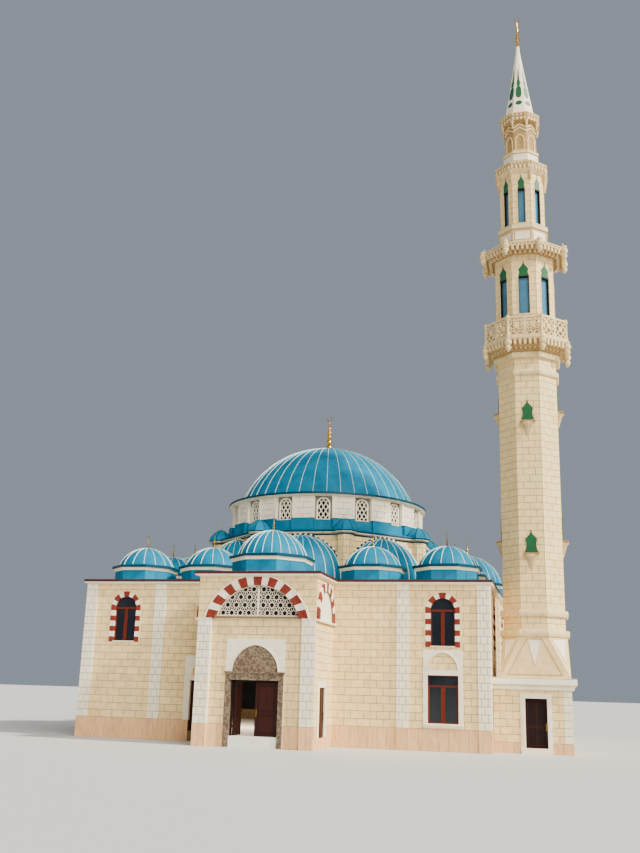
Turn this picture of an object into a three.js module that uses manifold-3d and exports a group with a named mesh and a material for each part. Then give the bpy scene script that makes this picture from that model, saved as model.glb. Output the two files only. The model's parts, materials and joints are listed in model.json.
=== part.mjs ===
// A domed mosque: hall, entrance portal, tiered dome and detached minaret.
// Millimetres, +Z up. The origin lies under the main dome on the lowest ground,
// -Y is the entrance front, and the minaret stands at the right of the hall.
import * as THREE from "three";
import { mergeVertices } from "three/addons/utils/BufferGeometryUtils.js";
import Module from "manifold-3d";

const wasm = await Module();
wasm.setup();

// Driving dimensions
const FLOOR = 467; // finished floor above the lowest ground
const WALL_TOP = 7360;
const WALL = 350; // masonry with cladding
const PANE = 24; // glass with its backing frame
const STRIP = 60; // how far a pilaster stands proud of the wall
const SEAT_GAP = 0.3; // between faces that are cut to fit each other

const HALL = { halfWidth: 9880, halfDepth: 9520 };
const PORTAL = { halfWidth: 2710, front: -12865, recess: 150, pilaster: 610 };
const ROOF = { bottom: WALL_TOP, top: 7500, overhang: 180, eyeApothem: 4700 };

const UPPER_WINDOW = { halfWidth: 565, sill: 4540, spring: 6125 };
const LOWER_WINDOW = { halfWidth: 700, sill: 1170, top: 3260 };
const FRONT_WINDOW_X = 7810;
const REAR_WINDOW_X = [3000, FRONT_WINDOW_X];
const SIDE_BAY = 6100; // spacing of the window bays along the sides
const GLAZING = { low: 1100, lowUpper: 4450, top: 6760, reach: 900 };
const WING_DOOR = { left: -4210, right: -3110, top: 2760 };
const SIDE_DOOR = { front: -12000, back: -10900, top: 2590 };

const PANEL_SET = { wing: 160, side: 40, thickness: 80 }; // fixed doors behind the wall face
const MAIN_DOOR = { halfWidth: 1100, top: 2820 };
const FRAME = 80; // door frame stock
const FRAME_DEPTH = 140;
const FRAME_SET = 120; // from the wall face back to the frame
const LEAF = { thickness: 55, gap: 8, floorGap: 12 };
const KNUCKLE = { radius: LEAF.gap - SEAT_GAP, height: 120, count: 3 };

const PORTAL_ARCH = { centre: 4870, inner: 2060, outer: 2450, spring: 5450, proud: 30 };
const SIDE_ARCH = { centre: 5560, inner: 1240, outer: 1620, spring: 5450, proud: 90 };
const LIGHT_SILL = 90; // sill moulding below the lattice of the portal arch
const LATTICE = { depth: 60, set: 60, border: 90, bar: 70, spacing: 620, mullion: 120, reach: 3200 };

const TIER = { apothem: 5714, inner: 5300, cornice: 10330, top: 10450, lip: 150 };
const TURRET = { radius: 6100, pillar: 400, eave: 640, apex: 11120 };
const SEMI = { radius: 2280, spring: 7950, depthRatio: 0.7 };
const DRUM = { outer: 5450, inner: 5080, top: 12400, skirtTop: 11120, skirt: 5640 };
const DRUM_BAY = {
  count: 16, width: 960, recess: 130, window: 660, sill: 11140, spring: 11980,
};
const EAVE = { edge: 5730, edgeZ: 12530, topZ: 12680, inner: 4750, seat: 5080 };
const DOME = { centre: 10780, radius: 5365, shell: 250, sides: 36 };

const WING_DOME = {
  drum: 1440, eave: 1600, base: ROOF.top, bandZ: 8090, eaveZ: 8200, springZ: 8370,
  radius: 1400, apex: 9340, finial: 700,
};
const PORTAL_DOME = {
  drum: 1720, eave: 1860, base: ROOF.top, bandZ: 8130, eaveZ: 8250, springZ: 8430,
  radius: 1640, apex: 9660, finial: 700,
};
const FLANK_DOME = {
  drum: 1900, eave: 2060, base: ROOF.top, bandZ: 8020, eaveZ: 8130, springZ: 8310,
  radius: 1840, apex: 9860, finial: 800,
};
const PORTAL_DOME_Y = -10760;
const DOME_ROW = {
  cornerX: 7810, innerX: 4143, frontY: -7430, sideY: 3940, flankX: 8080, rearY: 7600,
};

const MINARET = { x: 11830, y: -6857, baseHalf: 1550, baseTop: 2782, wall: 300 };
const BASE_CORNICE = { lower: 130, step: 2980, lip: 260, top: 3236 };
const MINARET_DOOR = { halfWidth: 490, floor: 250, top: 2380 };
const SHAFT = { apothem: 1400, wall: 260, bottom: 6277, top: 18520 };
const LANTERN = {
  apothem: 1440, wall: 260, bottom: 19465, top: 24020, sill: 20840, head: 22840, tip: 23700, half: 270,
};
const UPPER = {
  apothem: 1110, wall: 220, bottom: 25853, top: 28800, sill: 25960, head: 27900, tip: 28770, half: 190,
};
const BALCONY = { apothem: 2030, floor: 19465, rail: 20507, post: 20620, panel: 90, inset: 30 };
const PIERCING = { perSide: 3, halfWidth: 200, foot: 150, head: 130, edge: 80 };
const CONE = { base: 32640, tip: 36960, apothem: 750 };
const TOP_Z = 39117; // tip of the crescent on the minaret

const COLOURS = {
  cladding: 0xe6dcc4,
  trim: 0xeeeae0,
  copper: 0x00a0b8,
  gold: 0xc9a24a,
  brick: 0xb4432a,
  wood: 0x3a1614,
  glass: 0x1d2a33,
  skyGlass: 0x6fa3bd,
};

const FINISH = {
  cladding: material(COLOURS.cladding, 0.85, 0),
  trim: material(COLOURS.trim, 0.75, 0),
  copper: material(COLOURS.copper, 0.35, 0.2),
  gold: material(COLOURS.gold, 0.25, 1),
  brick: material(COLOURS.brick, 0.8, 0),
  wood: material(COLOURS.wood, 0.45, 0),
  glass: material(COLOURS.glass, 0.08, 0),
  skyGlass: material(COLOURS.skyGlass, 0.08, 0),
};

function material(color, roughness, metalness) {
  return new THREE.MeshStandardMaterial({ color, roughness, metalness });
}

const mosque = new THREE.Group();

// Adds one named sub-part made from a solid.
function addPart(name, solid, finish) {
  const mesh = new THREE.Mesh(toGeometry(solid), finish);
  mesh.name = name;
  mosque.add(mesh);
}

// Turns a closed three.js geometry into a solid that can be joined or cut.
function toSolid(geometry) {
  const bare = geometry.clone();
  bare.deleteAttribute("normal");
  bare.deleteAttribute("uv");
  const merged = mergeVertices(bare, 1e-3);
  const index = merged.index.array;
  const kept = [];
  for (let i = 0; i < index.length; i += 3) {
    const [a, b, c] = [index[i], index[i + 1], index[i + 2]];
    if (a !== b && b !== c && a !== c) kept.push(a, b, c);
  }
  return new wasm.Manifold(
    new wasm.Mesh({
      numProp: 3,
      vertProperties: merged.attributes.position.array,
      triVerts: new Uint32Array(kept),
    }),
  );
}

function toGeometry(solid) {
  const mesh = solid.getMesh();
  return new THREE.BufferGeometry()
    .setAttribute("position", new THREE.BufferAttribute(mesh.vertProperties, 3))
    .setIndex(new THREE.BufferAttribute(mesh.triVerts, 1));
}

const join = (...solids) => solids.reduce((whole, next) => whole.add(next));
const cut = (solid, ...tools) => tools.reduce((rest, tool) => rest.subtract(tool), solid);

function box(x0, x1, y0, y1, z0, z1) {
  const geometry = new THREE.BoxGeometry(x1 - x0, y1 - y0, z1 - z0);
  geometry.translate((x0 + x1) / 2, (y0 + y1) / 2, (z0 + z1) / 2);
  return toSolid(geometry);
}

// A solid turned about +Z from a profile of [radius, z] points listed upwards.
function turned(profile, segments, phase = 0, x = 0, y = 0) {
  const points = profile.map(([radius, z]) => new THREE.Vector2(radius, z));
  const geometry = new THREE.LatheGeometry(points, segments, phase);
  geometry.rotateX(Math.PI / 2);
  geometry.translate(x, y, 0);
  return toSolid(geometry);
}

const EIGHTH = Math.PI / 4;
const corner = (apothem) => apothem / Math.cos(EIGHTH / 2);

// An eight-sided solid with a flat to the front, from [apothem, z] points.
function octagonal(profile, x = 0, y = 0) {
  const corners = profile.map(([apothem, z]) => [corner(apothem), z]);
  return turned(corners, 8, EIGHTH / 2, x, y);
}

function octagonTube(outer, inner, z0, z1, x = 0, y = 0) {
  const profile = [[inner, z0], [outer, z0], [outer, z1], [inner, z1], [inner, z0]];
  return octagonal(profile, x, y);
}

// A shape drawn in X and Z, run through Y from y0 to y1.
function throughY(shape, y0, y1, curveSegments = 8) {
  const geometry = new THREE.ExtrudeGeometry(shape, {
    depth: y1 - y0, bevelEnabled: false, curveSegments,
  });
  geometry.rotateX(Math.PI / 2);
  geometry.translate(0, y1, 0);
  return toSolid(geometry);
}

// Turns a solid about the vertical axis through the origin.
const spin = (solid, angle) => solid.rotate([0, 0, THREE.MathUtils.radToDeg(angle)]);

// Points along an arc of a circle in a turned profile, from radius r0 to the axis.
function arcToAxis(centreZ, radius, fromRadius, steps) {
  const start = Math.asin(fromRadius / radius);
  const points = [];
  for (let i = 0; i <= steps; i += 1) {
    const angle = start * (1 - i / steps);
    points.push([i === steps ? 0 : radius * Math.sin(angle), centreZ + radius * Math.cos(angle)]);
  }
  return points;
}

// Radius of the circle that rises by height over a half width.
const capRadius = (halfWidth, height) => (halfWidth ** 2 + height ** 2) / (2 * height);

// Walls

function archedOpening(centre, y0, y1, { halfWidth, sill, spring }, segments = 6) {
  const shape = new THREE.Shape();
  shape.moveTo(centre - halfWidth, sill);
  shape.lineTo(centre + halfWidth, sill);
  shape.lineTo(centre + halfWidth, spring);
  shape.absarc(centre, spring, halfWidth, 0, Math.PI, false);
  return throughY(shape, y0, y1, segments);
}

function lowerOpening(centre, y0, y1) {
  const { halfWidth, sill, top } = LOWER_WINDOW;
  return box(centre - halfWidth, centre + halfWidth, y0, y1, sill, top);
}

const frontFace = -HALL.halfDepth;
const frontInner = frontFace + WALL;

function frontWallLeft() {
  const wall = join(
    box(-HALL.halfWidth, -PORTAL.halfWidth + WALL, frontFace, frontInner, 0, WALL_TOP),
    pilaster(-HALL.halfWidth - STRIP, -9373, frontInner),
    pilaster(-6273, -5711, frontInner),
  );
  return cut(
    wall,
    archedOpening(-FRONT_WINDOW_X, frontFace - WALL, frontInner + WALL, UPPER_WINDOW),
    box(WING_DOOR.left, WING_DOOR.right, frontFace - WALL, frontInner + WALL, FLOOR, WING_DOOR.top),
  );
}

function frontWallRight() {
  const wall = join(
    box(PORTAL.halfWidth - WALL, HALL.halfWidth, frontFace, frontInner, 0, WALL_TOP),
    pilaster(9373, HALL.halfWidth + STRIP, frontInner),
    pilaster(5711, 6273, frontInner),
  );
  return cut(
    wall,
    archedOpening(FRONT_WINDOW_X, frontFace - WALL, frontInner + WALL, UPPER_WINDOW),
    lowerOpening(FRONT_WINDOW_X, frontFace - WALL, frontInner + WALL),
  );
}

// A full-height strip standing proud of a front wall, backed by the wall itself.
function pilaster(x0, x1, back) {
  return box(x0, x1, frontFace - STRIP, back, 0, WALL_TOP);
}

// One window bay of a side or rear wall, drawn as a front wall centred on x.
function bayWall(x0, x1, windows, strips) {
  let wall = box(x0, x1, frontFace, frontInner, 0, WALL_TOP);
  strips.forEach(([from, to]) => {
    wall = wall.add(pilaster(from, to, frontInner));
  });
  windows.forEach(({ x, lower }) => {
    wall = wall.subtract(archedOpening(x, frontFace - WALL, frontInner + WALL, UPPER_WINDOW));
    if (lower) wall = wall.subtract(lowerOpening(x, frontFace - WALL, frontInner + WALL));
  });
  return wall;
}

const STRIP_HALF = 281;
const sideEnd = HALL.halfDepth - WALL;
const sideShift = HALL.halfWidth - HALL.halfDepth;

// The side walls are drawn as front walls, then turned and moved out.
function addSideWalls(side, label) {
  const cornerStrip = [sideEnd - 260, sideEnd];
  const joint = [-SIDE_BAY / 2 - STRIP_HALF, -SIDE_BAY / 2 + STRIP_HALF];
  const mirror = ([a, b]) => (side > 0 ? [a, b] : [-b, -a]);
  const place = (wall) => spin(wall, side * Math.PI / 2).translate([side * sideShift, 0, 0]);
  // The minaret stands before the lower part of the right-hand front bay.
  const frontBay = [{ x: -SIDE_BAY * side, lower: side < 0 }];
  const rearBays = [{ x: 0, lower: true }, { x: SIDE_BAY * side, lower: true }];
  const split = -SIDE_BAY / 2 + STRIP_HALF;
  addPart(`${label}_wall_front`, place(bayWall(...mirror([-sideEnd, split]), frontBay,
    [mirror([-cornerStrip[1], -cornerStrip[0]]), mirror(joint)])), FINISH.cladding);
  addPart(`${label}_wall_rear`, place(bayWall(...mirror([split, sideEnd]), rearBays,
    [mirror(cornerStrip), mirror([-joint[1], -joint[0]])])), FINISH.cladding);
}

// The rear wall in two halves, drawn as front walls and turned to the rear.
function addRearWalls() {
  const edge = HALL.halfWidth;
  [[-1, "right"], [1, "left"]].forEach(([side, label]) => {
    const mirror = ([a, b]) => (side > 0 ? [a, b] : [-b, -a]);
    const windows = REAR_WINDOW_X.map((x) => ({ x: x * side, lower: true }));
    const strips = [[0, STRIP_HALF], [5711, 6273], [9373, edge + STRIP]].map(mirror);
    addPart(`rear_wall_${label}`, spin(bayWall(...mirror([0, edge]), windows, strips), Math.PI),
      FINISH.cladding);
  });
}

// Portal

const portalInner = PORTAL.halfWidth - WALL;
const portalRecess = PORTAL.front + PORTAL.recess;
const portalBack = portalRecess + WALL;

function portalPier(side) {
  const near = MAIN_DOOR.halfWidth * side;
  const far = PORTAL.halfWidth * side;
  const strip = (PORTAL.halfWidth - PORTAL.pilaster) * side;
  const [x0, x1] = [Math.min(near, far), Math.max(near, far)];
  const [s0, s1] = [Math.min(strip, far), Math.max(strip, far)];
  return join(
    box(x0, x1, portalRecess, portalBack, 0, MAIN_DOOR.top),
    box(s0, s1, PORTAL.front, portalBack, 0, MAIN_DOOR.top),
  );
}

function arcedSlab(radius, centreZ, spring, y0, y1, segments = 16) {
  const start = Math.asin((spring - centreZ) / radius);
  const shape = new THREE.Shape();
  shape.absarc(0, centreZ, radius, start, Math.PI - start, false);
  shape.closePath();
  return throughY(shape, y0, y1, segments);
}

// The wall over the main door: recessed panel, spandrel and a lattice-filled arch.
function portalHead() {
  const { halfWidth, pilaster: strip, front } = PORTAL;
  const { centre, inner, spring } = PORTAL_ARCH;
  const wall = join(
    box(-halfWidth, halfWidth, portalRecess, portalBack, MAIN_DOOR.top, WALL_TOP),
    box(-halfWidth, -halfWidth + strip, front, portalBack, MAIN_DOOR.top, spring),
    box(halfWidth - strip, halfWidth, front, portalBack, MAIN_DOOR.top, spring),
    box(-halfWidth, halfWidth, front, portalBack, spring, WALL_TOP),
  );
  const light = arcedSlab(inner, centre, spring + LIGHT_SILL, front - WALL, portalBack + WALL);
  return cut(wall, light);
}

function archRing({ centre, inner, outer, spring }, y0, y1) {
  const ring = arcedSlab(outer, centre, spring, y0, y1);
  const hole = arcedSlab(inner, centre, Math.min(centre, spring) - 10, y0 - 10, y1 + 10);
  return cut(ring, hole);
}

// A portal side wall with its raised arch. Only the right one has a doorway.
function portalSideWall(side) {
  const outer = side * PORTAL.halfWidth;
  const inner = side * portalInner;
  const [x0, x1] = [Math.min(outer, inner), Math.max(outer, inner)];
  const middle = (PORTAL.front + frontFace) / 2;
  const ring = spin(archRing(SIDE_ARCH, -SIDE_ARCH.proud, 0), side * Math.PI / 2);
  const wall = join(box(x0, x1, portalBack, frontFace, 0, WALL_TOP), ring.translate([outer, middle, 0]));
  const { front, back, top } = SIDE_DOOR;
  return side < 0 ? wall : cut(wall, box(x0 - WALL, x1 + WALL, front, back, FLOOR, top));
}

// A lattice of crossing bars, cut to the arch that it fills.
function portalLattice() {
  const { centre, inner, spring } = PORTAL_ARCH;
  const { depth, set, border, bar, spacing, mullion, reach } = LATTICE;
  const y0 = portalRecess + set;
  const y1 = y0 + depth;
  const clear = inner - SEAT_GAP;
  const foot = spring + LIGHT_SILL + SEAT_GAP;
  const outline = arcedSlab(clear, centre, foot, y0, y1);
  const rim = cut(outline, arcedSlab(clear - border, centre, foot + border, y0 - 10, y1 + 10));
  const middle = box(-mullion / 2, mullion / 2, y0, y1, foot, centre + inner);
  const count = Math.floor(reach / spacing);
  let bars = middle;
  for (let i = -count; i <= count; i += 1) {
    [45, -45].forEach((tilt) => {
      const strip = box(-reach, reach, y0, y1, -bar / 2, bar / 2)
        .rotate([0, tilt, 0])
        .translate([i * spacing, 0, foot]);
      bars = bars.add(strip);
    });
  }
  return rim.add(bars.intersect(outline));
}

// Roof and domes

function roofSlab() {
  const over = ROOF.overhang;
  const slab = join(
    box(-HALL.halfWidth - over, HALL.halfWidth + over, -HALL.halfDepth - over,
      HALL.halfDepth + over, ROOF.bottom, ROOF.top),
    box(-PORTAL.halfWidth - over, PORTAL.halfWidth + over, PORTAL.front - over,
      0, ROOF.bottom, ROOF.top),
  );
  const minaretGap = octagonColumn(SHAFT.apothem + 40, MINARET.x, MINARET.y);
  return cut(slab, octagonColumn(ROOF.eyeApothem), minaretGap);
}

function octagonTier() {
  const { apothem, inner } = TIER;
  let tier = octagonal(corniced(apothem));
  const pillar = octagonal(corniced(TURRET.pillar), 0, -TURRET.radius);
  for (let i = 0; i < 8; i += 1) tier = tier.add(spin(pillar, (i + 0.5) * EIGHTH));
  return cut(tier, octagonColumn(inner));
}

// Profile of a wall or pillar that ends in a projecting cornice.
function corniced(half) {
  const { cornice, top, lip } = TIER;
  return [[0, ROOF.top], [half, ROOF.top], [half, cornice], [half + lip, cornice],
    [half + lip, top], [0, top]];
}

// A column taller than the building, used to cut a clear eight-sided hole.
function octagonColumn(apothem, x = 0, y = 0) {
  return octagonal([[0, -1000], [apothem, -1000], [apothem, TOP_Z], [0, TOP_Z]], x, y);
}

// Sheet-metal roof over the tier: apron, skirt round the drum and eight turret caps.
function tierRoof() {
  const { top, apothem, lip } = TIER;
  const { eave, apex, radius } = TURRET;
  let roof = octagonal([[0, top], [apothem + lip + 40, top], [apothem, top + 70], [0, top + 70]]);
  roof = roof.add(turned([[0, top], [DRUM.skirt, top], [DRUM.skirt - 40, DRUM.skirtTop],
    [0, DRUM.skirtTop]], 32));
  const capProfile = [[0, top], [eave, top], [eave, top + 40], [eave * 0.8, top + 210],
    [eave * 0.48, top + 370], [0, apex]];
  for (let i = 0; i < 8; i += 1) {
    const cap = octagonal(capProfile, 0, -radius);
    roof = roof.add(spin(cap, EIGHTH / 2 + i * EIGHTH));
  }
  const drumHole = turned([[0, 0], [DRUM.outer + SEAT_GAP, 0], [DRUM.outer + SEAT_GAP, top * 2],
    [0, top * 2]], 32);
  return cut(roof, drumHole);
}

// Eight semi-domes against the tier, standing on one ring of flashing.
function semiDomes() {
  const { radius, spring, depthRatio } = SEMI;
  const face = TIER.apothem + SEAT_GAP;
  const profile = [[0, ROOF.top], [radius, ROOF.top], ...arcToAxis(spring, radius, radius, 4)];
  const whole = turned(profile, 14).scale([1, depthRatio, 1]).translate([0, -face, 0]);
  const half = cut(whole, box(-9000, 9000, -face, 9000, 0, 20000));
  let ring = octagonTube(face + 500, face, ROOF.top, ROOF.top + 150);
  for (let i = 0; i < 8; i += 1) ring = ring.add(spin(half, i * EIGHTH));
  const pillar = octagonColumn(TURRET.pillar + SEAT_GAP, 0, -TURRET.radius);
  for (let i = 0; i < 8; i += 1) ring = ring.subtract(spin(pillar, (i + 0.5) * EIGHTH));
  domeRows().flatMap(({ domes }) => domes).forEach(({ size, x, y }) => {
    ring = ring.subtract(octagonColumn(size.eave + 5, x, y));
  });
  return ring;
}

// The small domes, in rows that each stand on one low curb.
function domeRows() {
  const { cornerX, innerX, frontY, sideY, flankX, rearY } = DOME_ROW;
  const rows = [{ name: "portal_dome", domes: [{ size: PORTAL_DOME, x: 0, y: PORTAL_DOME_Y }] }];
  [[-1, "left"], [1, "right"]].forEach(([side, label]) => {
    rows.push({
      name: `${label}_front_domes`,
      domes: [innerX, cornerX].map((x) => ({ size: WING_DOME, x: side * x, y: frontY })),
    });
    rows.push({
      name: `${label}_side_domes`,
      domes: [
        { size: WING_DOME, x: side * cornerX, y: -sideY },
        { size: FLANK_DOME, x: side * flankX, y: 0 },
        { size: WING_DOME, x: side * cornerX, y: sideY },
      ],
    });
  });
  const rear = [-cornerX, -innerX, innerX, cornerX].map((x) => ({ size: WING_DOME, x, y: -frontY }));
  rear.push({ size: WING_DOME, x: 0, y: rearY });
  rows.push({ name: "rear_domes", domes: rear });
  return rows;
}

function domeRow(domes) {
  const xs = domes.map(({ x }) => x);
  const ys = domes.map(({ y }) => y);
  const half = 500;
  const curb = box(Math.min(...xs) - half, Math.max(...xs) + half, Math.min(...ys) - half,
    Math.max(...ys) + half, ROOF.top, ROOF.top + 100);
  return join(curb, ...domes.map(({ size, x, y }) => smallDome(size, x, y)));
}

// A small ribbed dome on an eight-sided drum with a band, an eave and a finial.
function smallDome({ drum, eave, base, bandZ, eaveZ, springZ, radius, apex, finial }, x, y) {
  const band = (drum + eave) / 2;
  const body = octagonal([[0, base], [drum, base], [drum, bandZ], [band, bandZ], [band, eaveZ],
    [eave, eaveZ], [eave, eaveZ + 70], [radius, springZ], [0, springZ]], x, y);
  const rise = apex - springZ;
  const circle = capRadius(radius, rise);
  const cap = turned([[0, springZ - 20], [radius, springZ - 20],
    ...arcToAxis(apex - circle, circle, radius, 3)], 16, 0, x, y);
  const rod = turned([[0, apex - 60], [70, apex - 60], [95, apex + 60], [30, apex + 160],
    [60, apex + 240], [0, apex + finial]], 6, 0, x, y);
  return join(body, cap, rod);
}

function drumWall() {
  const { outer, inner, top } = DRUM;
  const { count, width, recess, window, sill, spring } = DRUM_BAY;
  let wall = turned([[inner, TIER.top], [outer, TIER.top], [outer, top], [inner, top],
    [inner, TIER.top]], 32);
  const bay = box(-width / 2, width / 2, -outer * 1.2, -outer + recess, sill, top * 2);
  const light = archedOpening(0, -outer * 1.2, -inner * 0.9,
    { halfWidth: window / 2, sill, spring }, 4);
  for (let i = 0; i < count; i += 1) {
    const angle = (i + 0.5) * 2 * Math.PI / count;
    wall = cut(wall, spin(bay, angle), spin(light, angle));
  }
  return wall;
}

// One ring of glass behind all the drum windows.
function drumGlass() {
  const outer = DRUM.inner - SEAT_GAP;
  const inner = outer - PANE;
  const foot = DRUM_BAY.sill - 60;
  return turned([[inner, foot], [outer, foot], [outer, DRUM.top], [inner, DRUM.top], [inner, foot]], 32);
}

function domeEave() {
  const { edge, edgeZ, topZ, inner, seat } = EAVE;
  return turned([[inner, DRUM.top], [DRUM.outer + 60, DRUM.top], [edge - 40, edgeZ - 60],
    [edge, edgeZ], [edge - 20, edgeZ + 40], [seat, topZ], [inner, topZ], [inner, DRUM.top]], DOME.sides);
}

function mainDome() {
  const { centre, radius, shell } = DOME;
  const height = EAVE.topZ - centre;
  const outerFoot = Math.sqrt(radius ** 2 - height ** 2);
  const innerRadius = radius - shell;
  const innerFoot = Math.sqrt(innerRadius ** 2 - height ** 2);
  const inside = arcToAxis(centre, innerRadius, innerFoot, 5).reverse();
  return turned([...inside, ...arcToAxis(centre, radius, outerFoot, 8)], DOME.sides);
}

// Beads on a rod with a slim tip, from [radius, height] pairs.
function finial(foot, beads, x = 0, y = 0, segments = 12) {
  return turned([[0, foot], ...beads.map(([radius, height]) => [radius, foot + height])],
    segments, 0, x, y);
}

// Minaret

const at = [MINARET.x, MINARET.y];

function minaretBaseShell() {
  const { x, y, baseHalf, baseTop, wall } = MINARET;
  const left = HALL.halfWidth;
  const right = x + baseHalf;
  const front = y - baseHalf;
  const back = y + baseHalf;
  const { halfWidth, floor } = MINARET_DOOR;
  const block = join(
    box(left, right, front + wall, back, 0, baseTop),
    box(x - halfWidth, x + halfWidth, front, front + wall, 0, floor),
  );
  return cut(block, box(left + wall, right - wall, front, back - wall, floor, baseTop * 2));
}

function minaretFrontWall(x0, x1, z0, z1) {
  const { y, baseHalf, wall } = MINARET;
  return box(x0, x1, y - baseHalf, y - baseHalf + wall, z0, z1);
}

// A slab over the base that reaches past it on three sides.
function corniceSlab(reach, z0, z1) {
  const { x, y, baseHalf } = MINARET;
  const half = baseHalf + reach;
  return box(HALL.halfWidth, x + half, y - half, y + half, z0, z1);
}

// Cornice over the base and the facets that turn the square into the octagon.
function minaretTransition() {
  const { x, y, baseHalf, baseTop } = MINARET;
  const { lower, step, lip, top } = BASE_CORNICE;
  const ring = 5109;
  const slab = join(corniceSlab(lower, baseTop, step), corniceSlab(lip, step, top));
  const half = SHAFT.apothem + 60;
  const side = half * Math.tan(EIGHTH / 2);
  const base = [[-baseHalf, -baseHalf], [baseHalf, -baseHalf], [baseHalf, baseHalf], [-baseHalf, baseHalf]];
  const upper = [[-side, -half], [side, -half], [half, -side], [half, side], [side, half],
    [-side, half], [-half, side], [-half, -side]];
  const vertices = [...base.map(([px, py]) => [px, py, top]), ...upper.map(([px, py]) => [px, py, ring])];
  const faces = [[0, 2, 1], [0, 3, 2]];
  for (let i = 0; i < 4; i += 1) {
    const next = (i + 1) % 4;
    const a = 4 + 2 * i;
    const b = a + 1;
    const c = 4 + ((2 * i + 2) % 8);
    faces.push([i, next, b], [i, b, a], [next, c, b]);
  }
  for (let i = 1; i < 7; i += 1) faces.push([4, 4 + i, 5 + i]);
  const geometry = new THREE.BufferGeometry();
  geometry.setAttribute("position", new THREE.Float32BufferAttribute(vertices.flat(), 3));
  geometry.setIndex(faces.flat());
  geometry.translate(x, y, 0);
  const { apothem } = SHAFT;
  const neck = octagonal([[0, ring], [apothem + 130, ring], [apothem + 140, 5376], [apothem, 5376],
    [apothem, 6007], [apothem + 110, 6007], [apothem + 110, SHAFT.bottom], [0, SHAFT.bottom]], ...at);
  const stair = octagonal([[0, baseTop - 100], [apothem - 400, baseTop - 100],
    [apothem - 400, SHAFT.bottom + 100], [0, SHAFT.bottom + 100]], ...at);
  return cut(join(slab, toSolid(geometry), neck), stair);
}

function minaretShaft() {
  const { apothem, wall, bottom, top } = SHAFT;
  const inner = apothem - wall;
  const ringLow = 17639;
  const ringHigh = 17896;
  return octagonal([[inner, bottom], [apothem, bottom], [apothem, ringLow], [apothem + 80, ringLow],
    [apothem + 80, ringHigh], [apothem, ringHigh], [apothem, top], [inner, top], [inner, bottom]], ...at);
}

function balcony() {
  const inner = SHAFT.apothem - SHAFT.wall;
  const { apothem, floor } = BALCONY;
  const body = octagonal([[inner, 18520], [1560, 18520], [1560, 18760], [1500, 18760], [1640, 18900],
    [1640, 18960], [1850, 19060], [1850, 19150], [apothem, 19260], [apothem, floor], [inner, floor],
    [inner, 18520]], ...at);
  let pendants = null;
  for (let i = 0; i < 8; i += 1) {
    const drop = pendant(apothem - 40, 19400, i);
    pendants = pendants ? pendants.add(drop) : drop;
  }
  return join(body, pendants);
}

// A turned drop under a corner of the balcony or the canopy.
function pendant(apothem, top, index) {
  const drop = turned([[0, top - 740], [130, top - 520], [80, top - 450], [150, top - 260],
    [110, top - 130], [110, top], [0, top]], 6, 0, 0, -corner(apothem));
  return spin(drop, EIGHTH / 2 + index * EIGHTH).translate([...at, 0]);
}

// Carved balcony rail: a pierced panel on each side, between corner posts.
function parapet() {
  const { apothem, floor, rail, post, panel, inset } = BALCONY;
  const { perSide, edge } = PIERCING;
  const face = apothem - inset;
  const pitch = (2 * face * Math.tan(EIGHTH / 2) - 2 * edge) / perSide;
  const column = octagonal([[0, floor], [edge, floor], [edge, post - 60], [0, post]],
    0, -corner(face - panel / 2));
  let ring = octagonTube(face, face - panel, floor, rail);
  for (let i = 0; i < 8; i += 1) {
    for (let k = 0; k < perSide; k += 1) {
      const hole = lozenge((k + 0.5 - perSide / 2) * pitch, -face - panel, -face + 2 * panel);
      ring = ring.subtract(spin(hole, i * EIGHTH));
    }
    ring = ring.add(spin(column, EIGHTH / 2 + i * EIGHTH));
  }
  return ring.translate([...at, 0]);
}

function lozenge(x, y0, y1) {
  const { halfWidth, foot, head } = PIERCING;
  const low = BALCONY.floor + foot;
  const high = BALCONY.rail - head;
  const shape = new THREE.Shape();
  shape.moveTo(x, low);
  shape.lineTo(x + halfWidth, (low + high) / 2);
  shape.lineTo(x, high);
  shape.lineTo(x - halfWidth, (low + high) / 2);
  return throughY(shape, y0, y1);
}

// A lantern window: a tall light with an ogee head.
function ogeeOpening({ half, sill, head, tip }, y0, y1) {
  const rise = tip - head;
  const shape = new THREE.Shape();
  shape.moveTo(-half, sill);
  shape.lineTo(half, sill);
  shape.lineTo(half, head);
  shape.lineTo(half * 0.78, head + rise * 0.32);
  shape.lineTo(half * 0.9, head + rise * 0.62);
  shape.quadraticCurveTo(half * 0.25, head + rise * 0.78, 0, tip);
  shape.quadraticCurveTo(-half * 0.25, head + rise * 0.78, -half * 0.9, head + rise * 0.62);
  shape.lineTo(-half * 0.78, head + rise * 0.32);
  shape.lineTo(-half, head);
  return throughY(shape, y0, y1, 4);
}

function lanternRoom(size) {
  const { apothem, wall, bottom, top } = size;
  let room = octagonTube(apothem, apothem - wall, bottom, top);
  const light = ogeeOpening(size, -apothem - 300, -apothem + wall + 300);
  for (let i = 0; i < 8; i += 1) room = room.subtract(spin(light, i * EIGHTH));
  return room.translate([...at, 0]);
}

function lanternGlass({ apothem, wall, sill, tip, top }) {
  const outer = apothem - wall - SEAT_GAP;
  return octagonTube(outer, outer - PANE, sill - 60, Math.min(tip + 40, top), ...at);
}

// Lower canopy: a dentilled eave with pendants, then the panelled band above it.
function lowerCanopy() {
  const inner = LANTERN.apothem - LANTERN.wall;
  const edge = 2050;
  const body = octagonal([[inner, LANTERN.top], [1500, LANTERN.top], [1620, 24160], [edge - 60, 24240],
    [edge, 24300], [edge, 24448], [1250, 24820], [1170, 24900], [1170, 25572], [1250, 25600],
    [1250, UPPER.bottom], [UPPER.apothem - UPPER.wall, UPPER.bottom], [UPPER.apothem - UPPER.wall, 24800],
    [inner, 24400], [inner, LANTERN.top]], ...at);
  let whole = body;
  for (let i = 0; i < 8; i += 1) whole = whole.add(pendant(edge - 20, 24560, i));
  return whole;
}

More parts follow.
